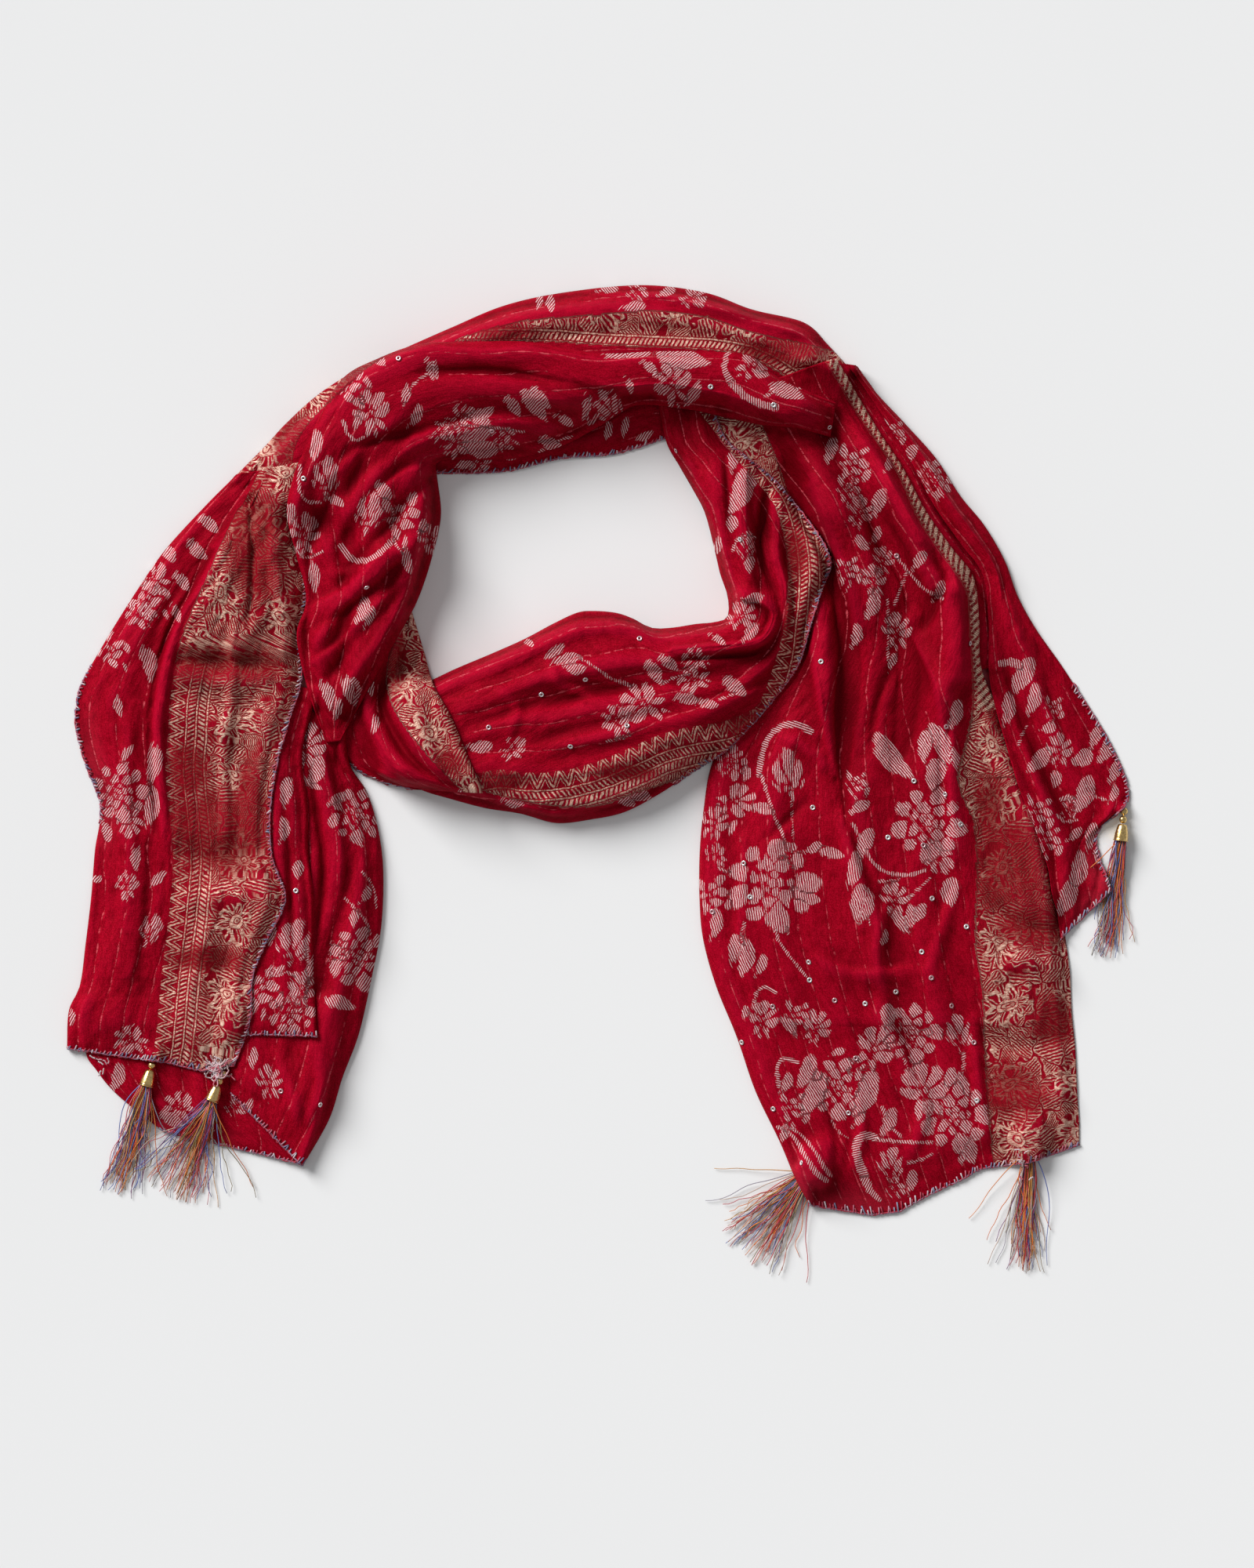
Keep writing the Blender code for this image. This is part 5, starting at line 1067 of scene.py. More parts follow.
class Panel:
    """One stretch of the cloth: a fine shell on the form of its solid, with its woven pattern."""

    def __init__(self, ground, name, stretch):
        self.name, self.stretch = name, stretch
        sections = np.array(stretch.sections, float)
        last = len(sections) - 1
        edges = smooth_row(sections, np.linspace(0, last, 200))
        length = middle_run(edges)[-1]
        self.widest = np.linalg.norm(edges[:, 2:] - edges[:, :2], axis=1).max()
        rows, columns = (UNDER_STEP * max(2, round(size / stretch.cell / UNDER_STEP)) + 1
                         for size in (length, self.widest))
        # Section numbers, evenly spaced along the middle line
        fine = np.linspace(0, last, 40 * len(sections))
        run = middle_run(smooth_row(sections, fine))
        self.rows = np.interp(np.linspace(0, run[-1], rows), run, fine)
        self.shares = np.linspace(0, 1, columns)
        plan = between(smooth_row(sections, self.rows)[:, None], self.shares[:, None])
        if stretch.waves:
            plan = hem_shift(plan, self.shares, stretch.waves)
        self.plan = plan
        self.width = np.linalg.norm(plan[:, -1] - plan[:, 0], axis=1)[:, None]
        self.from_a, self.from_b = self.shares * self.width, (1 - self.shares) * self.width
        self.from_side = np.minimum(self.from_a, self.from_b)
        self.run = np.linspace(0, length, rows)[:, None] + 0 * self.from_side
        self.from_end = np.minimum(self.run, length - self.run)
        self.from_edge = np.minimum(self.from_side, self.from_end)
        base = self.form(ground, sections)
        top = self.thicken(base)
        self.points = np.dstack([plan, top])
        along, across = plan[1:, :-1] - plan[:-1, :-1], plan[:-1, 1:] - plan[:-1, :-1]
        clockwise = (along[..., 0] * across[..., 1] - along[..., 1] * across[..., 0]).sum() < 0
        normal = unit(np.cross(np.gradient(self.points, axis=0), np.gradient(self.points, axis=1)))
        self.normal = -normal if clockwise else normal
        # The underside keeps below the top's lowest place nearby
        window = (UNDER_STEP + 1, UNDER_STEP + 1)
        padded = np.pad(base, UNDER_STEP // 2, mode="edge")
        lowest = np.lib.stride_tricks.sliding_window_view(padded, window).min(axis=(2, 3))
        beneath = np.dstack([plan, np.maximum(lowest, 0)])[::UNDER_STEP, ::UNDER_STEP]
        points = np.concatenate([self.points.reshape(-1, 3), beneath.reshape(-1, 3)])
        self.mesh = mesh_of(name + "_cloth", points, sheet_faces(rows, columns, clockwise))
        self.dress(top)
        self.record_on(ground)

    def form(self, ground, sections):
        """Height of the cloth's lower face: what it lies on, its folds, creases and gathers."""
        plan, from_side, width = self.plan, self.from_side, self.width
        middle = soft_step(from_side / EDGE_REACH) * (0.25 + 0.75 * soft_step(self.from_end / 16))
        calm = (0.35 + 0.65 * middle) * (0.08 + 0.92 * soft_step(self.from_end / 22))
        local = ground.read(ground.local(), plan)
        draped = np.maximum(ground.read(ground.draped(), plan), local)
        resting = local + GAP * soft_step(local / GAP)
        base = resting + (draped - local) * middle
        share = np.linspace(0, 1, 24)
        for row_from, across_from, row_to, across_to, height, *flanks in self.stretch.folds:
            edges = smooth_row(sections, row_from + (row_to - row_from) * share)
            line = between(edges, (across_from + (across_to - across_from) * share)[:, None])
            step, to_a = line[1] - line[0], edges[0, :2] - line[0]
            left, right = flanks if step[0] * to_a[1] - step[1] * to_a[0] > 0 else flanks[::-1]
            base = base + ridge(plan, line, height, max(left, FLANK), max(right, FLANK)) * calm
        for height, left, right, *pixels in self.stretch.creases:
            base = base + CREASE_DEPTH * ridge(plan, smooth_line(pixels), height, left, right) * calm
        # The soft unevenness of a gathered silk, with small sharp creases
        cloth = np.dstack([self.from_a, self.run])
        slanted = np.dstack([self.from_a + 0.6 * self.run, self.run - 0.5 * self.from_a])
        slack = np.clip(1.5 - width / 130.0, 0.25, 1.0)
        pucker = (uneven(cloth, PUCKERS) + self.stretch.gather * slack * uneven(cloth, GATHERS)
                  - uneven(cloth, CRUMPLES, np.abs) - uneven(slanted, SLANTED_CRUMPLES, np.abs))
        base = base + pucker * soft_step(from_side / 5)
        base = base + self.stretch.loft * calm * soft_step(from_side / 9)
        # Lines of running stitch draw the cloth in
        lines = max(1, round(self.widest / QUILT_PITCH))
        pitch = width / lines
        at = self.shares * lines - 0.5 + uneven(cloth, QUILT_DRIFT) / pitch
        from_line = np.abs((at + 0.5) % 1 - 0.5) * pitch
        ended = (np.rint(at) % 2 == 1) & (pitch < LEAST_PITCH)
        self.from_line = np.where(ended, NO_LINE, from_line)
        base = base - 0.4 * np.exp(-(self.from_line / 1.1) ** 2) * soft_step(from_side / 3)
        over = np.maximum(base - SOFT_TOP, 0)
        base = np.minimum(base, SOFT_TOP) + SOFT_REACH * (1 - np.exp(-over / SOFT_REACH))
        return np.maximum(base, resting)

    def thicken(self, base):
        """Height of the upper face, with its rolled edges."""
        wall = HEM_WALL + (WALL - HEM_WALL) * soft_step(self.from_edge / 6)
        slope = np.hypot(*(
            np.gradient(base, axis=k) / np.linalg.norm(np.gradient(self.plan, axis=k), axis=2)
            for k in (0, 1)))
        top = base + wall * np.minimum(np.sqrt(1 + slope ** 2), 2.2)
        for distance, rolls in zip((self.from_a, self.from_b), self.stretch.rolls):
            radius = read_table(rolls, self.rows)[:, None]
            safe = np.maximum(radius, 0.01)
            near = np.clip(1 - distance / safe, 0, 1)
            fall = 0.35 + 0.65 * np.exp(-np.maximum(distance - safe, 0) / (1.6 * safe))
            top = top + radius * np.sqrt(1 - near ** 2) * fall * np.exp(-distance / 25)
        return top

    def record_on(self, ground):
        grid = self.points
        for u in (0.0, 0.5):
            for v in (0.0, 0.5):
                ground.raise_to((grid[:-1, :-1] * (1 - u) + grid[1:, :-1] * u) * (1 - v)
                                + (grid[:-1, 1:] * (1 - u) + grid[1:, 1:] * u) * v)
        ground.raise_to(grid)

    def beside(self, pixels):
        """Distance along a line of pixels, and distance to its left, at each place."""
        distance, along, side, _ = beside_line(self.plan, smooth_line(pixels))
        return along.reshape(self.run.shape), (distance * side).reshape(self.run.shape)

    def patches(self, rows, edge, slope=1.0, ripple=0.0):
        """How far each place lies in the soft oval patches of these rows."""
        found = np.zeros(self.run.shape)
        for x, y, half_x, half_y, *depth in rows:
            offset = (self.plan - at_pixels((x, y))) / (half_x * MM_PER_PIXEL, half_y * MM_PER_PIXEL)
            away = np.hypot(offset[..., 0], offset[..., 1]) + ripple
            found = np.maximum(found, sum(depth or [1]) * soft_step(edge - slope * away))
        return found

    def dress(self, top):
        """Values that the woven pattern, and the painted shade, sheen and light through the cloth, are drawn
        from.
        """
        plan, stretch = self.plan, self.stretch
        field, hatch = motif_fields(plan, stretch.motifs, stretch.stems)
        set_values(self.mesh, "motif_a", [NO_MOTIF] * 3, field[..., :3])
        set_values(self.mesh, "motif_b", [NO_MOTIF] * 3, field[..., 3:])
        set_values(self.mesh, "weave", (0, NO_LINE, 0), hatch, self.from_line, self.run)
        zs, zt = 0 * self.run, 0 * self.run + NO_BORDER
        for pixels, limit, turned_under in stretch.borders:
            along, inward = self.beside(pixels)
            inward = np.where(inward > 0, inward + read_table(turned_under, self.rows)[:, None], inward)
            if limit:
                past = self.beside(limit)[1]
                inward = np.where(past > 0, -past, inward)
            zs = np.where(inward > zt, along, zs)
            zt = np.maximum(inward, zt)
        # Painted light coming through single cloth, in patches
        sheer = self.patches(stretch.sheer, 1.5)
        set_values(self.mesh, "border", (0, NO_BORDER, 0), zs, zt, sheer)
        # Relief, the height above or below the nearby mean: painted shade in the hollows and a painted sheen
        # on the ridges are drawn from it
        broad = np.clip((top - self.even(top, 9)) / 2.4, -1, 1)
        fine = np.clip((top - self.even(top, 3)) / 0.8, -1, 1)
        relief = np.clip(0.75 * broad + 0.35 * fine, -1, 1) * soft_step(self.from_edge / 4)
        shade = self.patches(stretch.shade, 1.35, 0.9, 0.12 * lattice_noise(plan, 9.0, 32))
        set_values(self.mesh, "form", (0, 0, 0), relief, shade, 0 * shade)
        # Painted shade on the gold, in patches where the metal catches less light
        dull = self.patches(stretch.dull, 1.6, 1.0, 0.25 * lattice_noise(plan, 8.0, 31))
        if self.name == "right_tail_front":
            # Its first strip of gold is bright, marked by a value below the painted shade's zero
            bright = (self.rows[:, None] < 9.0) & (self.shares > 0.5)
            dull = np.where(bright, -1.0, dull)
        set_values(self.mesh, "cloth", (0, 0, 0), self.from_a, self.from_edge, dull)

    @staticmethod
    def even(height, cells):
        """Heights evened out over this many grid places each way, twice."""
        span = 2 * cells + 1
        for axis in (0, 0, 1, 1):
            padding = [(cells, cells) if k == axis else (0, 0) for k in (0, 1)]
            total = np.cumsum(np.insert(np.pad(height, padding, mode="edge"), 0, 0.0, axis=axis), axis=axis)
            start = np.arange(height.shape[axis])
            height = (np.take(total, start + span, axis=axis) - np.take(total, start, axis=axis)) / span
        return height

    def add(self, material):
        replaced = () if self.name == "right_tail_underfold" else (self.name,)
        thing = add_object(self.mesh, material, replaced)

    def place(self, row, share):
        """Points on the top at section numbers and shares across."""
        at = np.interp(row, self.rows, np.arange(len(self.rows)))
        column = np.asarray(share) * (len(self.shares) - 1)
        i = np.clip(np.floor(at).astype(int), 0, len(self.rows) - 2)
        j = np.clip(np.floor(column).astype(int), 0, len(self.shares) - 2)
        return bilinear(self.points, i, j, (at - i)[:, None], (column - j)[:, None])


class Value:
    """A number or colour worked out by a material's nodes, so that formulas read as arithmetic."""

    def __init__(self, shader, socket):
        self.shader, self.socket = shader, socket

    def __add__(self, other):
        return self.shader.math("ADD", self, other)

    def __sub__(self, other):
        return self.shader.math("SUBTRACT", self, other)

    def __rsub__(self, other):
        return self.shader.math("SUBTRACT", other, self)

    def __mul__(self, other):
        return self.shader.math("MULTIPLY", self, other)

    def __abs__(self):
        return self.shader.math("ABSOLUTE", self)

    __radd__, __rmul__ = __add__, __mul__

    def fold(self, length):
        """Runs up to length and back down to 0, over and over."""
        return self.shader.math("PINGPONG", self, length)

    def ramp(self, low, high):
        """0 below low and 1 above high; high may be the smaller."""
        return self.shader.node("MapRange", 0, self, low, high, 0.0, 1.0, clamp=True)

    def stripes(self, period, share, soft=0.12):
        """1 on stripes that take this share of each period."""
        half = period / 2
        return self.fold(half).ramp(half * (share + soft), half * (share - soft))


class Shader:
    """A material drawn from nodes, with short calls for them."""

    def __init__(self, name):
        self.material = bpy.data.materials.new(name)
        self.material.use_nodes = True
        self.tree = self.material.node_tree
        self.surface = self.tree.nodes["Principled BSDF"]

    def feed(self, socket, value):
        if isinstance(value, Value):
            self.tree.links.new(value.socket, socket)
        elif isinstance(value, tuple):
            socket.default_value = value + (1.0,)
        else:
            socket.default_value = value

    def node(self, kind, output, *values, named=None, **settings):
        """Add a node, feed its first inputs and the named ones, and take one of its outputs."""
        node = self.tree.nodes.new("ShaderNode" + kind)
        for setting, value in settings.items():
            setattr(node, setting, value)
        for socket, value in zip(node.inputs, values):
            self.feed(socket, value)
        for socket, value in (named or {}).items():
            self.feed(node.inputs[socket], value)
        return Value(self, node.outputs[output])

    def math(self, operation, *values):
        return self.node("Math", 0, *values, operation=operation)

    def most(self, first, *others):
        for other in others:
            first = self.math("MAXIMUM", first, other)
        return first

    def colour(self, share, first, second, blend="MIX"):
        return self.node("Mix", 2, named={0: share, 6: first, 7: second}, data_type="RGBA", blend_type=blend)

    def values(self, name):
        """The three values stored in the mesh under this name."""
        triple = self.node("Attribute", "Vector", attribute_name=name)
        split = self.tree.nodes.new("ShaderNodeSeparateXYZ")
        self.feed(split.inputs[0], triple)
        return tuple(Value(self, output) for output in split.outputs)

    def vector(self, x, y):
        return self.node("CombineXYZ", 0, x, y)

    def noise(self, vector, scale, detail=2.0, rough=0.5):
        return self.node("TexNoise", 0, named={
            "Vector": vector, "Scale": scale, "Detail": detail, "Roughness": rough})

    def cells(self, vector, scale, output, feature):
        return self.node("TexVoronoi", output, named={"Vector": vector, "Scale": scale},
                         voronoi_dimensions="2D", feature=feature)

    def place(self, scale=1000.0):
        """Places on the object, in millimetres."""
        return self.node("VectorMath", 0, self.node("TexCoord", "Object"), named={"Scale": scale},
                         operation="SCALE")

    def bump(self, height, distance, strength=1.0):
        normal = self.node("Bump", 0, named={"Strength": strength, "Distance": distance, "Height": height})
        self.feed(self.surface.inputs["Normal"], normal)

    def set(self, **values):
        for name, value in values.items():
            self.feed(self.surface.inputs[name.replace("_", " ")], value)


def silk_material():
    """Crimson silk with hatched motifs, running stitch and a gold border, from the cloth's values, with
    painted shade, a painted sheen and painted light through single cloth.
    """
    s = Shader("crimson_silk")
    place = s.place()
    cloth_across, from_edge, dull = s.values("cloth")
    hatch, from_line, run = s.values("weave")
    zs, zt, sheer = s.values("border")
    groups = s.values("motif_a") + s.values("motif_b")
    # Relief, for painted shade in hollows and a painted sheen on ridges, and the painted shade of deep folds
    relief, shade, _ = s.values("form")

    # Slubs of the weave: long streaks one way and the other
    slub = s.noise(s.vector(cloth_across * 3.0, run * 0.16), 1.0, 3.0, 0.6)
    weft = s.noise(s.vector(cloth_across * 0.2, run * 2.6), 1.0, 3.0, 0.6)
    crinkle = s.noise(s.vector(cloth_across * 0.55, run * 0.16), 1.0, 4.0, 0.65)
    patch = s.noise(place, 0.03)
    grain = s.noise(place, 1.6, 2.0, 0.6)
    weave = slub * 0.5 + weft * 0.3 + grain * 0.2
    # Where the cloth lies lower than its nearby mean, for painted shade
    painted_hollow_shade = relief.ramp(0.0, -1.0)

    # Woven motifs: pink-white threads in a hatch, each pick with its own end
    way = hatch + (s.noise(place, 0.9, 1.0) - 0.5) * 0.35
    pick = s.node("TexWhiteNoise", 0, named={"W": s.math("FLOOR", s.math("DIVIDE", way, 1.2))},
                  noise_dimensions="1D")
    end = (pick - 0.35) * 0.9
    shapes = s.most(*[(group - end).ramp(-0.12, 0.14) for group in groups])
    motif = shapes * way.stripes(1.2, 0.44)
    pink = s.colour(grain.ramp(0.35, 0.7), (0.66, 0.36, 0.37), (0.92, 0.72, 0.70))
    # Painted shade on the motifs in the hollows
    pink = s.colour(painted_hollow_shade * 0.5, pink, (0.38, 0.16, 0.18))

    ground = s.colour(patch.ramp(0.35, 0.65), (0.24, 0.0003, 0.0055), (0.31, 0.0006, 0.0095))
    for share, tone in (
        (weave.ramp(0.36, 0.70), (0.46, 0.0035, 0.024)),
        (grain.ramp(0.60, 0.36) * 0.6, (0.13, 0.0002, 0.003)),
        (crinkle.ramp(0.52, 0.36) * 0.5, (0.14, 0.0002, 0.003)),
        # Painted light coming through single cloth, near its edges
        (sheer * from_edge.ramp(14.0, 2.0) * 0.22, (0.50, 0.04, 0.07)),
        (shapes * 0.7, (0.25, 0.008, 0.022)),
        # Painted shade in the hollows
        (painted_hollow_shade * 0.62, (0.085, 0.0001, 0.002)),
        # Painted sheen on the ridges
        (relief.ramp(0.1, 1.0) * 0.24, (0.50, 0.004, 0.036)),
        (shade * 0.62, (0.075, 0.0001, 0.0015)),
    ):
        ground = s.colour(share, ground, tone)
    colour = s.colour(motif * zt.ramp(0.0, -0.8) * 0.86, ground, pink)

    # Running stitch, in dashes along its lines
    dash = (run + s.noise(place, 0.11) * 26.0).stripes(3.2, 0.84, 0.06)
    wobble = (s.noise(s.vector(run * 0.22, 0.0), 1.0) - 0.5) * 1.6
    stitch = abs(from_line + wobble).ramp(0.40, 0.20) * dash * from_edge.ramp(1.0, 3.0)
    colour = s.colour(stitch * 0.6, colour, (0.62, 0.085, 0.11))

    # The gold border, from its inner edge outwards
    inside = zt.ramp(0.0, 0.7)
    zs, zt = (zs + (s.noise(s.vector(zs, zt), 0.35) - 0.5) * 1.4,
              zt + (s.noise(s.vector(zt, zs), 0.35) - 0.5) * 1.1)
    tooth = zs.fold(3.9) * (8.4 / 3.9)
    row = zt - 0.8
    zigzag = s.most(abs(row - tooth).ramp(1.35, 0.8), abs(tooth - row - 3.6).ramp(0.7, 0.35),
                    abs(row - tooth - 3.8).ramp(0.65, 0.3))

    def band(at, half):
        return abs(zt - at).ramp(half + 0.15, half - 0.15)

    rows = s.most(
        zigzag * zt.ramp(0.7, 0.9) * zt.ramp(9.4, 9.2),
        (zs + zt * 0.5).stripes(2.3, 0.42) * band(13.0, 1.7),
        (zs - zt * 0.5).stripes(2.4, 0.54) * band(18.5, 1.7),
        band(10.4, 0.35), band(15.7, 0.4), band(21.3, 0.45))

    # The field beyond the rows: flowers,
    field_at = s.vector(zs, zt)
    x = (zs + 14.0).fold(37.0) - 16.0 + (s.noise(field_at, 0.055, 1.0) - 0.5) * 16.0
    y = (zt - 20.0).fold(34.0) - 17.0 + (s.noise(s.vector(zs + 130.0, zt), 0.06, 1.0) - 0.5) * 16.0
    radius = s.math("SQRT", x * x + y * y)
    angle = s.math("ARCTAN2", y, x)
    lobe = 8.0 + s.math("COSINE", angle * 6.0) * 2.4
    flower = s.most(
        abs(radius - lobe).ramp(1.25, 0.8), abs(radius - 3.4).ramp(1.1, 0.7),
        abs(radius - 1.2).ramp(0.8, 0.5),
        radius.ramp(11.0, 10.0) * (angle * 3.0).stripes(0.75, 0.35) * radius.ramp(4.4, 5.0))
    # and leaves and scrolls between them
    warped = s.vector(zs + (s.noise(field_at, 0.09, 1.0) - 0.5) * 16.0,
                      zt * 0.72 + (s.noise(field_at, 0.08, 1.0) - 0.5) * 16.0)
    edge = s.cells(warped, 0.105, "Distance", "DISTANCE_TO_EDGE") * 9.5
    cell_pick = s.node("SeparateColor", 0, s.cells(warped, 0.105, "Color", "F1"))
    lines = (zs + zt * (cell_pick * 3.4 - 1.7)).stripes(1.9, 0.44)
    open_leaf = s.most(edge.ramp(0.95, 0.7) * edge.ramp(0.28, 0.42),
                       edge.ramp(1.25, 1.6) * lines * cell_pick.ramp(0.5, 0.55))
    full_leaf = edge.ramp(0.45, 0.65) * s.most(lines, edge.ramp(1.1, 0.7))
    full = s.noise(s.vector(zs + 60.0, zt), 0.045, 1.0).ramp(0.34, 0.46)
    between_flowers = radius.ramp(10.5, 11.5) * s.colour(full, open_leaf, full_leaf)
    woven = s.most(rows, s.most(flower, between_flowers) * zt.ramp(22.0, 22.6)) * inside

    # Its metal threads: worn and frayed, painted darker in places as shade on the metal, and bright with
    # slanted leaves in one strip
    bright = dull.ramp(-0.1, -0.5)
    dull = s.most(dull, 0.0)
    ridges = s.noise(s.vector(zs * 1.7, zt * 0.35), 1.0, 2.0, 0.6)
    worn = s.noise(field_at, 0.12).ramp(0.24, 0.46) * (1.0 - dull * 0.6)
    fray = (ridges + dull * -0.10).ramp(0.24, 0.46)
    jag = zt - 16.6 - zs.fold(2.4) * 0.8
    leaves = (zs + zt * 0.9).stripes(4.8, 0.56) * jag.ramp(0.0, 0.5) * (zs - zt * 0.6).stripes(1.1, 0.78)
    gold_share = s.most(woven * fray * (0.38 + worn * 0.62) * (1.0 - bright * 0.8),
                        bright * inside * leaves * (0.3 + fray * 0.7))
    gold = s.colour(ridges.ramp(0.38, 0.70), (0.42, 0.15, 0.11), (0.84, 0.60, 0.47))
    # Painted shade darkens the gold in its patches, and the bronze ground beneath it too
    gold = s.colour(dull * 0.85, gold, (0.21, 0.04, 0.03))
    gold = s.colour(bright * 0.8, gold, (0.86, 0.64, 0.48))
    bronze = s.colour(0.2 + dull * 0.3, ground, (0.13, 0.012, 0.012))
    colour = s.colour(inside * 0.6, colour, bronze)
    colour = s.colour(gold_share, colour, gold)

    s.set(Base_Color=colour, Metallic=gold_share * 0.12, Roughness=0.5 + gold_share * -0.12,
          Sheen_Weight=0.02, Sheen_Roughness=0.35, Sheen_Tint=(1.0, 0.12, 0.18), Specular_IOR_Level=0.01)
    s.bump(weave * 0.7 + motif * 0.5 + gold_share * 0.8 + stitch * 0.6 + crinkle * 1.5, 0.00034)
    return s.material


def plain_material(name, rough, metallic, grain, colour=None):
    """Thread or metal with a fine grain in its colour: this one, or else each point's own."""
    s = Shader(name)
    base = colour or s.node("Attribute", "Color", attribute_name="tint")
    fine = s.noise(s.place(), grain, 3.0, 0.6)
    dark = s.colour(1.0, base, (0.62, 0.60, 0.60), "MULTIPLY")
    s.set(Base_Color=s.colour(fine.ramp(0.3, 0.65), dark, base), Roughness=rough - 0.08 + fine * 0.16,
          Metallic=metallic)
    s.bump(fine, 0.00012, 0.5)
    return s.material


def tube_mesh(name, lines, tints, radius, taper=1.0, sides=4):
    """Thin round threads along lines of points in plan millimetres, each with its colour."""
    points, faces, colours = [], [], []
    for line, tint in zip(lines, tints):
        ahead = unit(np.gradient(line, axis=0))
        side = unit(np.stack([-ahead[:, 1], ahead[:, 0], 0 * ahead[:, 0]], axis=1), 1e-6)
        size = radius * np.linspace(1, taper, len(line))
        rings = line[:, None] + size[:, None, None] * circle(sides, side, np.cross(ahead, side))
        first = len(points)
        points.extend(rings.reshape(-1, 3))
        faces += ring_faces(first, len(line), sides)
        faces += [tuple(range(first, first + sides))[::-1], tuple(range(len(points) - sides, len(points)))]
        colours += [tint] * (len(points) - first)
    return mesh_of(name, points, faces, colours)


# Overlocked hems: the stretch, the edge, and the sections or shares it runs between
HEMS = (
    ("front_loop", "b", 0.0, 13.6), ("left_tail_front", "b", 1.6, 14.0),
    ("left_tail_front", "a", 4.4, 8.4), ("left_tail_front", "end", 0.0, 1.0),
    ("ring_inner_hem", "b", 0.0, 5.0), ("right_tail_outer", "b", 9.4, 17.0),
    ("right_tail_outer", "end", 0.0, 1.0), ("left_tail_middle", "end", 0.0, 1.0),
    ("left_tail_side", "end", 0.0, 1.0), ("left_tail_back", "end", 0.0, 1.0),
    ("right_tail_front", "end", 0.0, 1.0), ("loop_left_end", "a", 1.4, 6.0),
)
HEM_THREADS = (
    (0.62, 0.52, 0.56), (0.26, 0.28, 0.40), (0.50, 0.12, 0.18), (0.48, 0.36, 0.42), (0.36, 0.03, 0.06),
    (0.46, 0.20, 0.26), (0.40, 0.04, 0.07), (0.18, 0.16, 0.27),
)


# Loose thread ends: place in pixels, how many, how widely spread and how long
WISPS = (
    (277, 1364, 70, 2.4, 5.0), (128, 1356, 8, 2.5, 3.5), (1304, 1484, 8, 4.0, 3.0),
)
WISP_TINTS = ((0.62, 0.44, 0.44), (0.55, 0.28, 0.32), (0.50, 0.10, 0.14), (0.60, 0.50, 0.52))


def hem_line(panel, edge, start, end, inset):
    """Places along an edge of a panel, this far in from it."""
    fine = np.linspace(start, end, 400)
    if edge == "end":
        return panel.place(np.full(400, panel.rows[-2 - round(inset) if inset else -1]), fine)
    share = inset / np.interp(fine, panel.rows, panel.width[:, 0])
    return panel.place(fine, share if edge == "a" else 1 - share)


def read_line(line, run, at):
    """Points of a line at values of run, which counts along it."""
    return np.stack([np.interp(at, run, line[:, k]) for k in range(3)], axis=-1)


def overlock(panels, ground):
    """Slanted stitches over each bare hem, with a cord along it."""
    beneath = ground.local()
    lines, colours = [], []
    dice = np.random.default_rng(5)
    for name, edge, start, end in HEMS:
        outer = hem_line(panels[name], edge, start, end, 0.0)
        inner = hem_line(panels[name], edge, start, end, OVERLOCK_WIDTH)
        run = run_along(outer)
        for number in range(max(2, int(run[-1] / OVERLOCK_PITCH))):
            at = OVERLOCK_PITCH * (number + 0.5 + dice.uniform(-0.3, 0.3))
            slant = at + 0.9 + dice.normal(0, 0.9)
            foot, head = read_line(outer, run, at), read_line(inner, run, slant)
            head = foot + (head - foot) * dice.uniform(0.45, 1.0)
            out = unit((foot - head) * (1, 1, 0), 1e-6)
            lines.append(np.array([
                head + (0, 0, 0.25), (head + foot) / 2 + (0, 0, 0.55), foot + (0, 0, 0.35) + out * 0.25,
                foot + out * 0.45 - (0, 0, 0.35)]))
            colours.append(HEM_THREADS[int(dice.integers(0, len(HEM_THREADS)))])
        steps = max(2, int(run[-1] / CORD_STEP))
        for shade in CORD_TINTS:
            cord = read_line(outer, run, np.linspace(0, run[-1], steps))
            cord[:, :2] += dice.normal(0, 0.28, (steps, 2))
            cord[:, 2] += 0.2 + dice.normal(0, 0.15, steps)
            lines.append(cord)
            colours.append(shade)
    # Wisps where a thread end has come loose
    for x, y, count, spread, reach in WISPS:
        for _ in range(count):
            start = at_pixels((x, y)) + dice.normal(0, spread, 2)
            turn = dice.uniform(0, 2 * math.pi) + np.cumsum(dice.normal(0, 0.5, 7))
            step = np.stack([np.cos(turn), np.sin(turn)], axis=1) * reach / 7
            place = np.vstack([start, start + np.cumsum(step, axis=0)])
            lift = Ground.read(beneath, place) + dice.uniform(0.3, 1.6)
            lines.append(np.column_stack([place, lift]))
            colours.append(WISP_TINTS[int(dice.integers(0, len(WISP_TINTS)))])
    return tube_mesh("overlock_stitches", lines, colours, 0.4)


def sequin_rings(panels, sides=20):
    """A flat ring for each sequin, lying on the topmost cloth at its place."""
    points, faces, tints = [], [], []
    for number, middle in enumerate(at_pixels(SEQUINS)):
        best = None
        for panel in panels.values():
            offset = np.hypot(*np.moveaxis(panel.plan - middle, -1, 0))
            nearest = np.unravel_index(offset.argmin(), offset.shape)
            if offset[nearest] < 1.2:
                best = panel.points[nearest][2], panel.normal[nearest]
        if best is None:
            continue
        height, normal = best
        u = unit(np.cross(normal, (0, 1, 0)))
        spokes = circle(sides, u, np.cross(normal, u))
        first = len(points)
        for radius, lift in SEQUIN_PROFILE:
            points.extend(np.array([*middle, height]) + normal * (0.45 + lift) + spokes * radius)
        faces += ring_faces(first, len(SEQUIN_PROFILE), sides, closed=True)
        tints += [SEQUIN_TINTS[number % 3]] * (len(points) - first)
    return mesh_of("sequins", points, faces, tints)


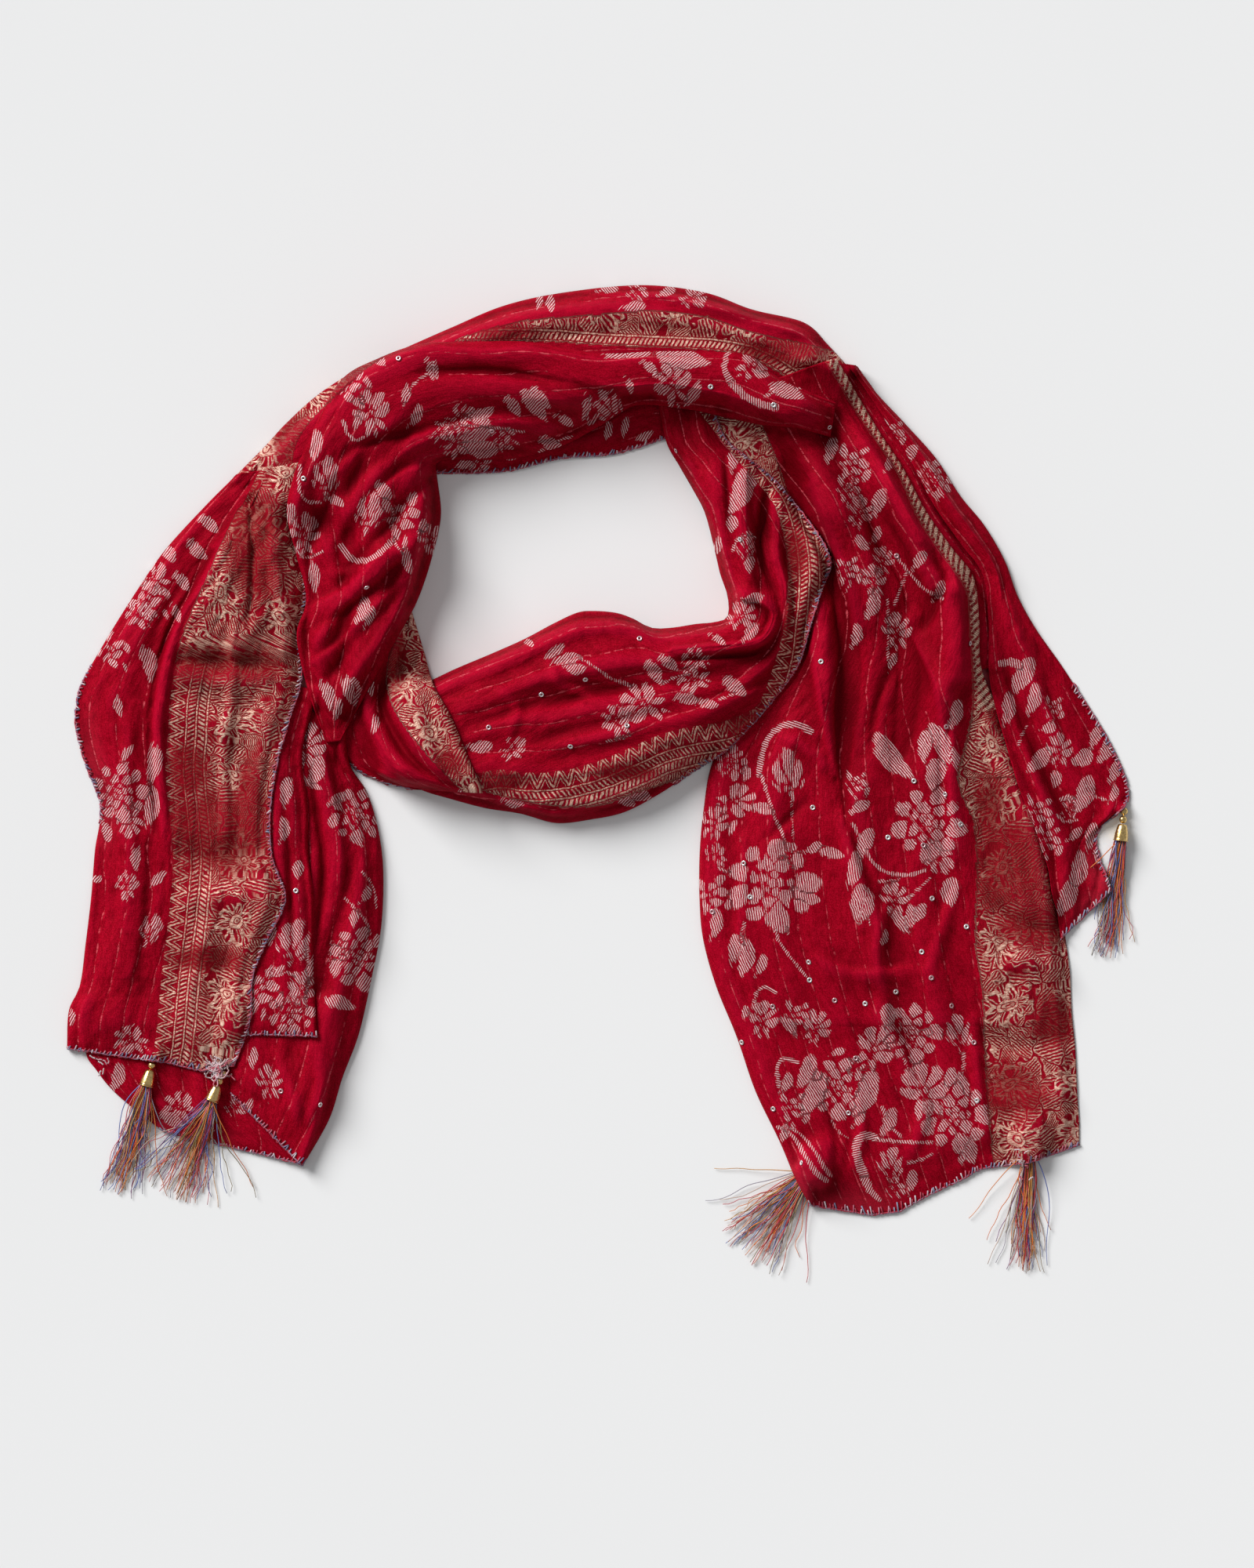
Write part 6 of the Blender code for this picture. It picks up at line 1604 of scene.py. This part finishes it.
Tassel = namedtuple("Tassel", "name mouth_x mouth_y heading fan length")
RIGHT_TASSELS = (
    Tassel("tassel_right_hem_left", 111, -209, -130, 34, 56),
    Tassel("tassel_right_hem_right", 231.5, -199, -93, 8, 62),
    Tassel("tassel_right_corner", 280, -30.5, -97, 8, 62),
)
LEFT_TASSELS = (
    Tassel("tassel_left_outer", -243, -162, -105, 11, 60),
    Tassel("tassel_left_inner", -208, -170, -113, 26, 56),
)
STRAND_TINTS = (
    (0.70, 0.17, 0.03), (0.52, 0.03, 0.04), (0.60, 0.14, 0.17), (0.11, 0.15, 0.42), (0.20, 0.05, 0.18),
    (0.25, 0.18, 0.07), (0.58, 0.29, 0.08), (0.30, 0.27, 0.33), (0.68, 0.20, 0.03), (0.50, 0.04, 0.06),
    (0.14, 0.19, 0.46), (0.52, 0.36, 0.28), (0.72, 0.19, 0.04), (0.56, 0.05, 0.04),
)
CAP_LENGTH = 9.0
CAP_TIP_RADIUS = 2.2
CAP_MOUTH_RADIUS = 4.2
BEAD_RADIUS = 2.1
BEAD_STEP = 4.6
BEAD_TILT = 0.19
BEAD_DROP = 1.35
STRAND_COUNT = 74


def tassel_axes(tassel):
    heading = math.radians(tassel.heading)
    forward = np.array([math.cos(heading), math.sin(heading), 0.0])
    side = np.array([-forward[1], forward[0], 0.0])
    low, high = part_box(tassel.name + "_cap")
    mouth = np.array([tassel.mouth_x, tassel.mouth_y, (low.z + high.z) / 2 / MM])
    return mouth, forward, side


def tassel_strands(ground, tassel):
    """Fine strands fanned out from the cap, lying on what is beneath them."""
    mouth, forward, side = tassel_axes(tassel)
    dice = np.random.default_rng(abs(int(tassel.mouth_x * 10)))
    beneath = ground.local()
    share = np.linspace(0, 1, 17)
    lines, colours = [], []
    for number in range(STRAND_COUNT):
        even = 2 * (number + 0.5) / STRAND_COUNT - 1
        swing = math.radians(tassel.fan) * (0.55 * even + dice.normal(0, 0.22))
        swing += math.radians(20) * dice.normal(0, 1) * (dice.uniform(0, 1) > 0.88)
        length = tassel.length * dice.choice((dice.uniform(0.84, 1.04), dice.uniform(0.5, 0.9)), p=(0.7, 0.3))
        heading = forward * math.cos(swing) + side * math.sin(swing)
        across = np.array([-heading[1], heading[0], 0.0])
        angle = dice.uniform(0, 2 * math.pi)
        reach = 3.4 * math.sqrt(dice.uniform(0, 1))
        start = mouth - forward * 0.8 + side * reach * even * 0.9 + (0, 0, reach * math.cos(angle) * 0.8)
        bend = (dice.normal(0, 1.5) * np.sin(share * math.pi * dice.uniform(0.8, 2.2))
                + dice.normal(0, 2.6) * share ** 2)
        for size, slow, fast in ((1.0, 2.5, 5.0), (0.45, 6.0, 11.0)):
            size = dice.normal(0, size)
            bend += size * np.sin(share * math.pi * dice.uniform(slow, fast) + dice.uniform(0, 6)) * share
        line = start + heading * (share * length)[:, None] + across * bend[:, None]
        layer = 0.35 + 2.6 * dice.uniform(0, 1) * (1 - 0.55 * share)
        rest = Ground.read(beneath, line[:, :2]) + layer
        line[:, 2] = rest + np.maximum(line[:, 2] - rest, 0) * (1 - share) ** 2.2
        lines.append(line)
        colours.append(STRAND_TINTS[int(dice.integers(0, len(STRAND_TINTS)))])
    return tube_mesh(tassel.name + "_strands", lines, colours, 0.29, taper=0.55)


def turned_mesh(name, profile, sides, origin, axis):
    """A closed turned piece: profile rows are distance along the axis and radius."""
    axis = unit(axis)
    side = unit(np.cross((0, 0, 1), axis))
    along, radius = (np.array(column)[:, None, None] for column in zip(*profile))
    rings = origin + axis * along + radius * circle(sides, side, np.cross(axis, side))
    points = np.concatenate([rings[0, :1], rings[1:-1].reshape(-1, 3), rings[-1, :1]])
    end = len(points) - 1
    faces = ring_faces(1, len(profile) - 2, sides)
    for k in range(sides):
        n = (k + 1) % sides
        faces += [(0, 1 + n, 1 + k), (end - sides + k, end - sides + n, end)]
    return mesh_of(name, points, faces)


def lay_tassel(ground, tassel, thread, brass):
    mouth, forward, _ = tassel_axes(tassel)
    add_object(tassel_strands(ground, tassel), thread, (tassel.name + "_threads",))
    tip, rim = CAP_TIP_RADIUS, CAP_MOUTH_RADIUS
    bell = [(-CAP_LENGTH, 0.0), (-CAP_LENGTH, tip * 0.7), (-CAP_LENGTH * 0.97, tip * 0.95)]
    for share in np.linspace(0.92, 0.06, 10):
        swell = math.sin((1 - share) * math.pi / 2) ** 0.8
        bell.append((-CAP_LENGTH * share, tip + (rim - tip) * 0.82 * swell))
    bell += [(-0.5, rim * 0.98), (-0.1, rim), (0.0, rim * 0.95), (0.0, 3.6), (-1.2, 3.5), (-1.2, 0.0)]
    cap = turned_mesh(tassel.name + "_bell", bell, 32, mouth, forward)
    add_object(cap, brass, (tassel.name + "_cap",))
    half = BEAD_STEP / 2
    middle = mouth - forward * (CAP_LENGTH + GAP + BEAD_RADIUS + half) - (0, 0, BEAD_DROP)
    turns = [math.pi * k / 14 for k in range(1, 14)]
    profile = sorted(
        [(-half - BEAD_RADIUS, 0.0), (half + BEAD_RADIUS, 0.0)]
        + [(end - BEAD_RADIUS * math.cos(t), max(BEAD_RADIUS * math.sin(t), 0.5))
           for end in (-half, half) for t in turns], key=lambda row: row[0])
    beads = turned_mesh(tassel.name + "_round_beads", profile, 28, middle, forward + (0, 0, BEAD_TILT))
    add_object(beads, brass, (tassel.name + "_beads",))
    for part in ("_threads", "_cap", "_beads"):
        ground.add_node(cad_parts[tassel.name + part])


def lay_all():
    silk = silk_material()
    thread = plain_material("tassel_thread", 0.62, 0.0, 2.0)
    brass = plain_material("gold_brass", 0.26, 1.0, 0.8, (0.86, 0.60, 0.24))
    hem_thread = plain_material("hem_thread", 0.6, 0.0, 2.5)
    silver = plain_material("silver_sequin", 0.26, 0.6, 0.5)
    inner = plain_material("inner_silk", 0.6, 0.0, 0.4, (0.27, 0.006, 0.018))
    ground = Ground()
    for name in HIDDEN:
        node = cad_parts[name]
        ground.add_node(node)
        node.data.materials.clear()
        node.data.materials.append(inner)
    for tassel in RIGHT_TASSELS:
        lay_tassel(ground, tassel, thread, brass)
    panels = {}
    for name, rows in STRETCHES.items():
        if name == "left_tail_front":
            for tassel in LEFT_TASSELS:
                lay_tassel(ground, tassel, thread, brass)
        panels[name] = Panel(ground, name, rows)
        panels[name].add(silk)
    add_object(overlock(panels, ground), hem_thread)
    add_object(sequin_rings(panels), silver)


def set_stage():
    """Pale floor, soft light from the upper left, and a camera straight above."""
    scene = bpy.context.scene
    scene.view_settings.view_transform = "Standard"
    scene.view_settings.look = "None"

    def put(name, data):
        thing = bpy.data.objects.new(name, data)
        scene.collection.objects.link(thing)
        return thing

    reach, level = 3.0, cad_low[2] - 0.0003
    floor_mesh = bpy.data.meshes.new("floor")
    floor_mesh.from_pydata(
        [(-reach, -reach, level), (reach, -reach, level), (reach, reach, level), (-reach, reach, level)],
        [], [(0, 1, 2, 3)])
    paper = Shader("pale_floor")
    shade = paper.noise(paper.place(1.0), 3.0, 1.0)
    paper.set(Base_Color=paper.colour(shade, (0.80, 0.80, 0.80), (0.82, 0.82, 0.82)), Roughness=0.95,
              Specular_IOR_Level=0.1)
    floor_mesh.materials.append(paper.material)
    put("floor", floor_mesh)

    world = bpy.data.worlds.new("studio")
    scene.world = world
    world.use_nodes = True
    background = world.node_tree.nodes["Background"].inputs
    background["Color"].default_value = (0.97, 0.985, 1.0, 1.0)
    background["Strength"].default_value = 0.30
    for name, power, spread, turn, tilt in (
            ("key", 4.35, 30.0, 135.0, 59.0), ("fill", 0.10, 90.0, -30.0, 35.0)):
        light = bpy.data.lights.new(name, "SUN")
        light.energy = power
        light.angle = math.radians(spread)
        lamp = put(name, light)
        lamp.rotation_euler = (math.radians(tilt), 0.0, math.radians(turn + 90.0))

    lens = bpy.data.cameras.new("camera")
    camera = put("camera", lens)
    middle = in_scene(at_pixels((PHOTO_WIDTH / 2, PHOTO_HEIGHT / 2)))[0]
    camera.location = (*middle, CAMERA_HEIGHT)
    lens.sensor_fit = "VERTICAL"
    lens.sensor_height = SENSOR
    lens.lens = SENSOR * (CAMERA_HEIGHT - CLOTH_LEVEL) / (PHOTO_HEIGHT * MM_PER_PIXEL * MM)
    lens.clip_end = 50.0
    scene.camera = camera


lay_all()
set_stage()
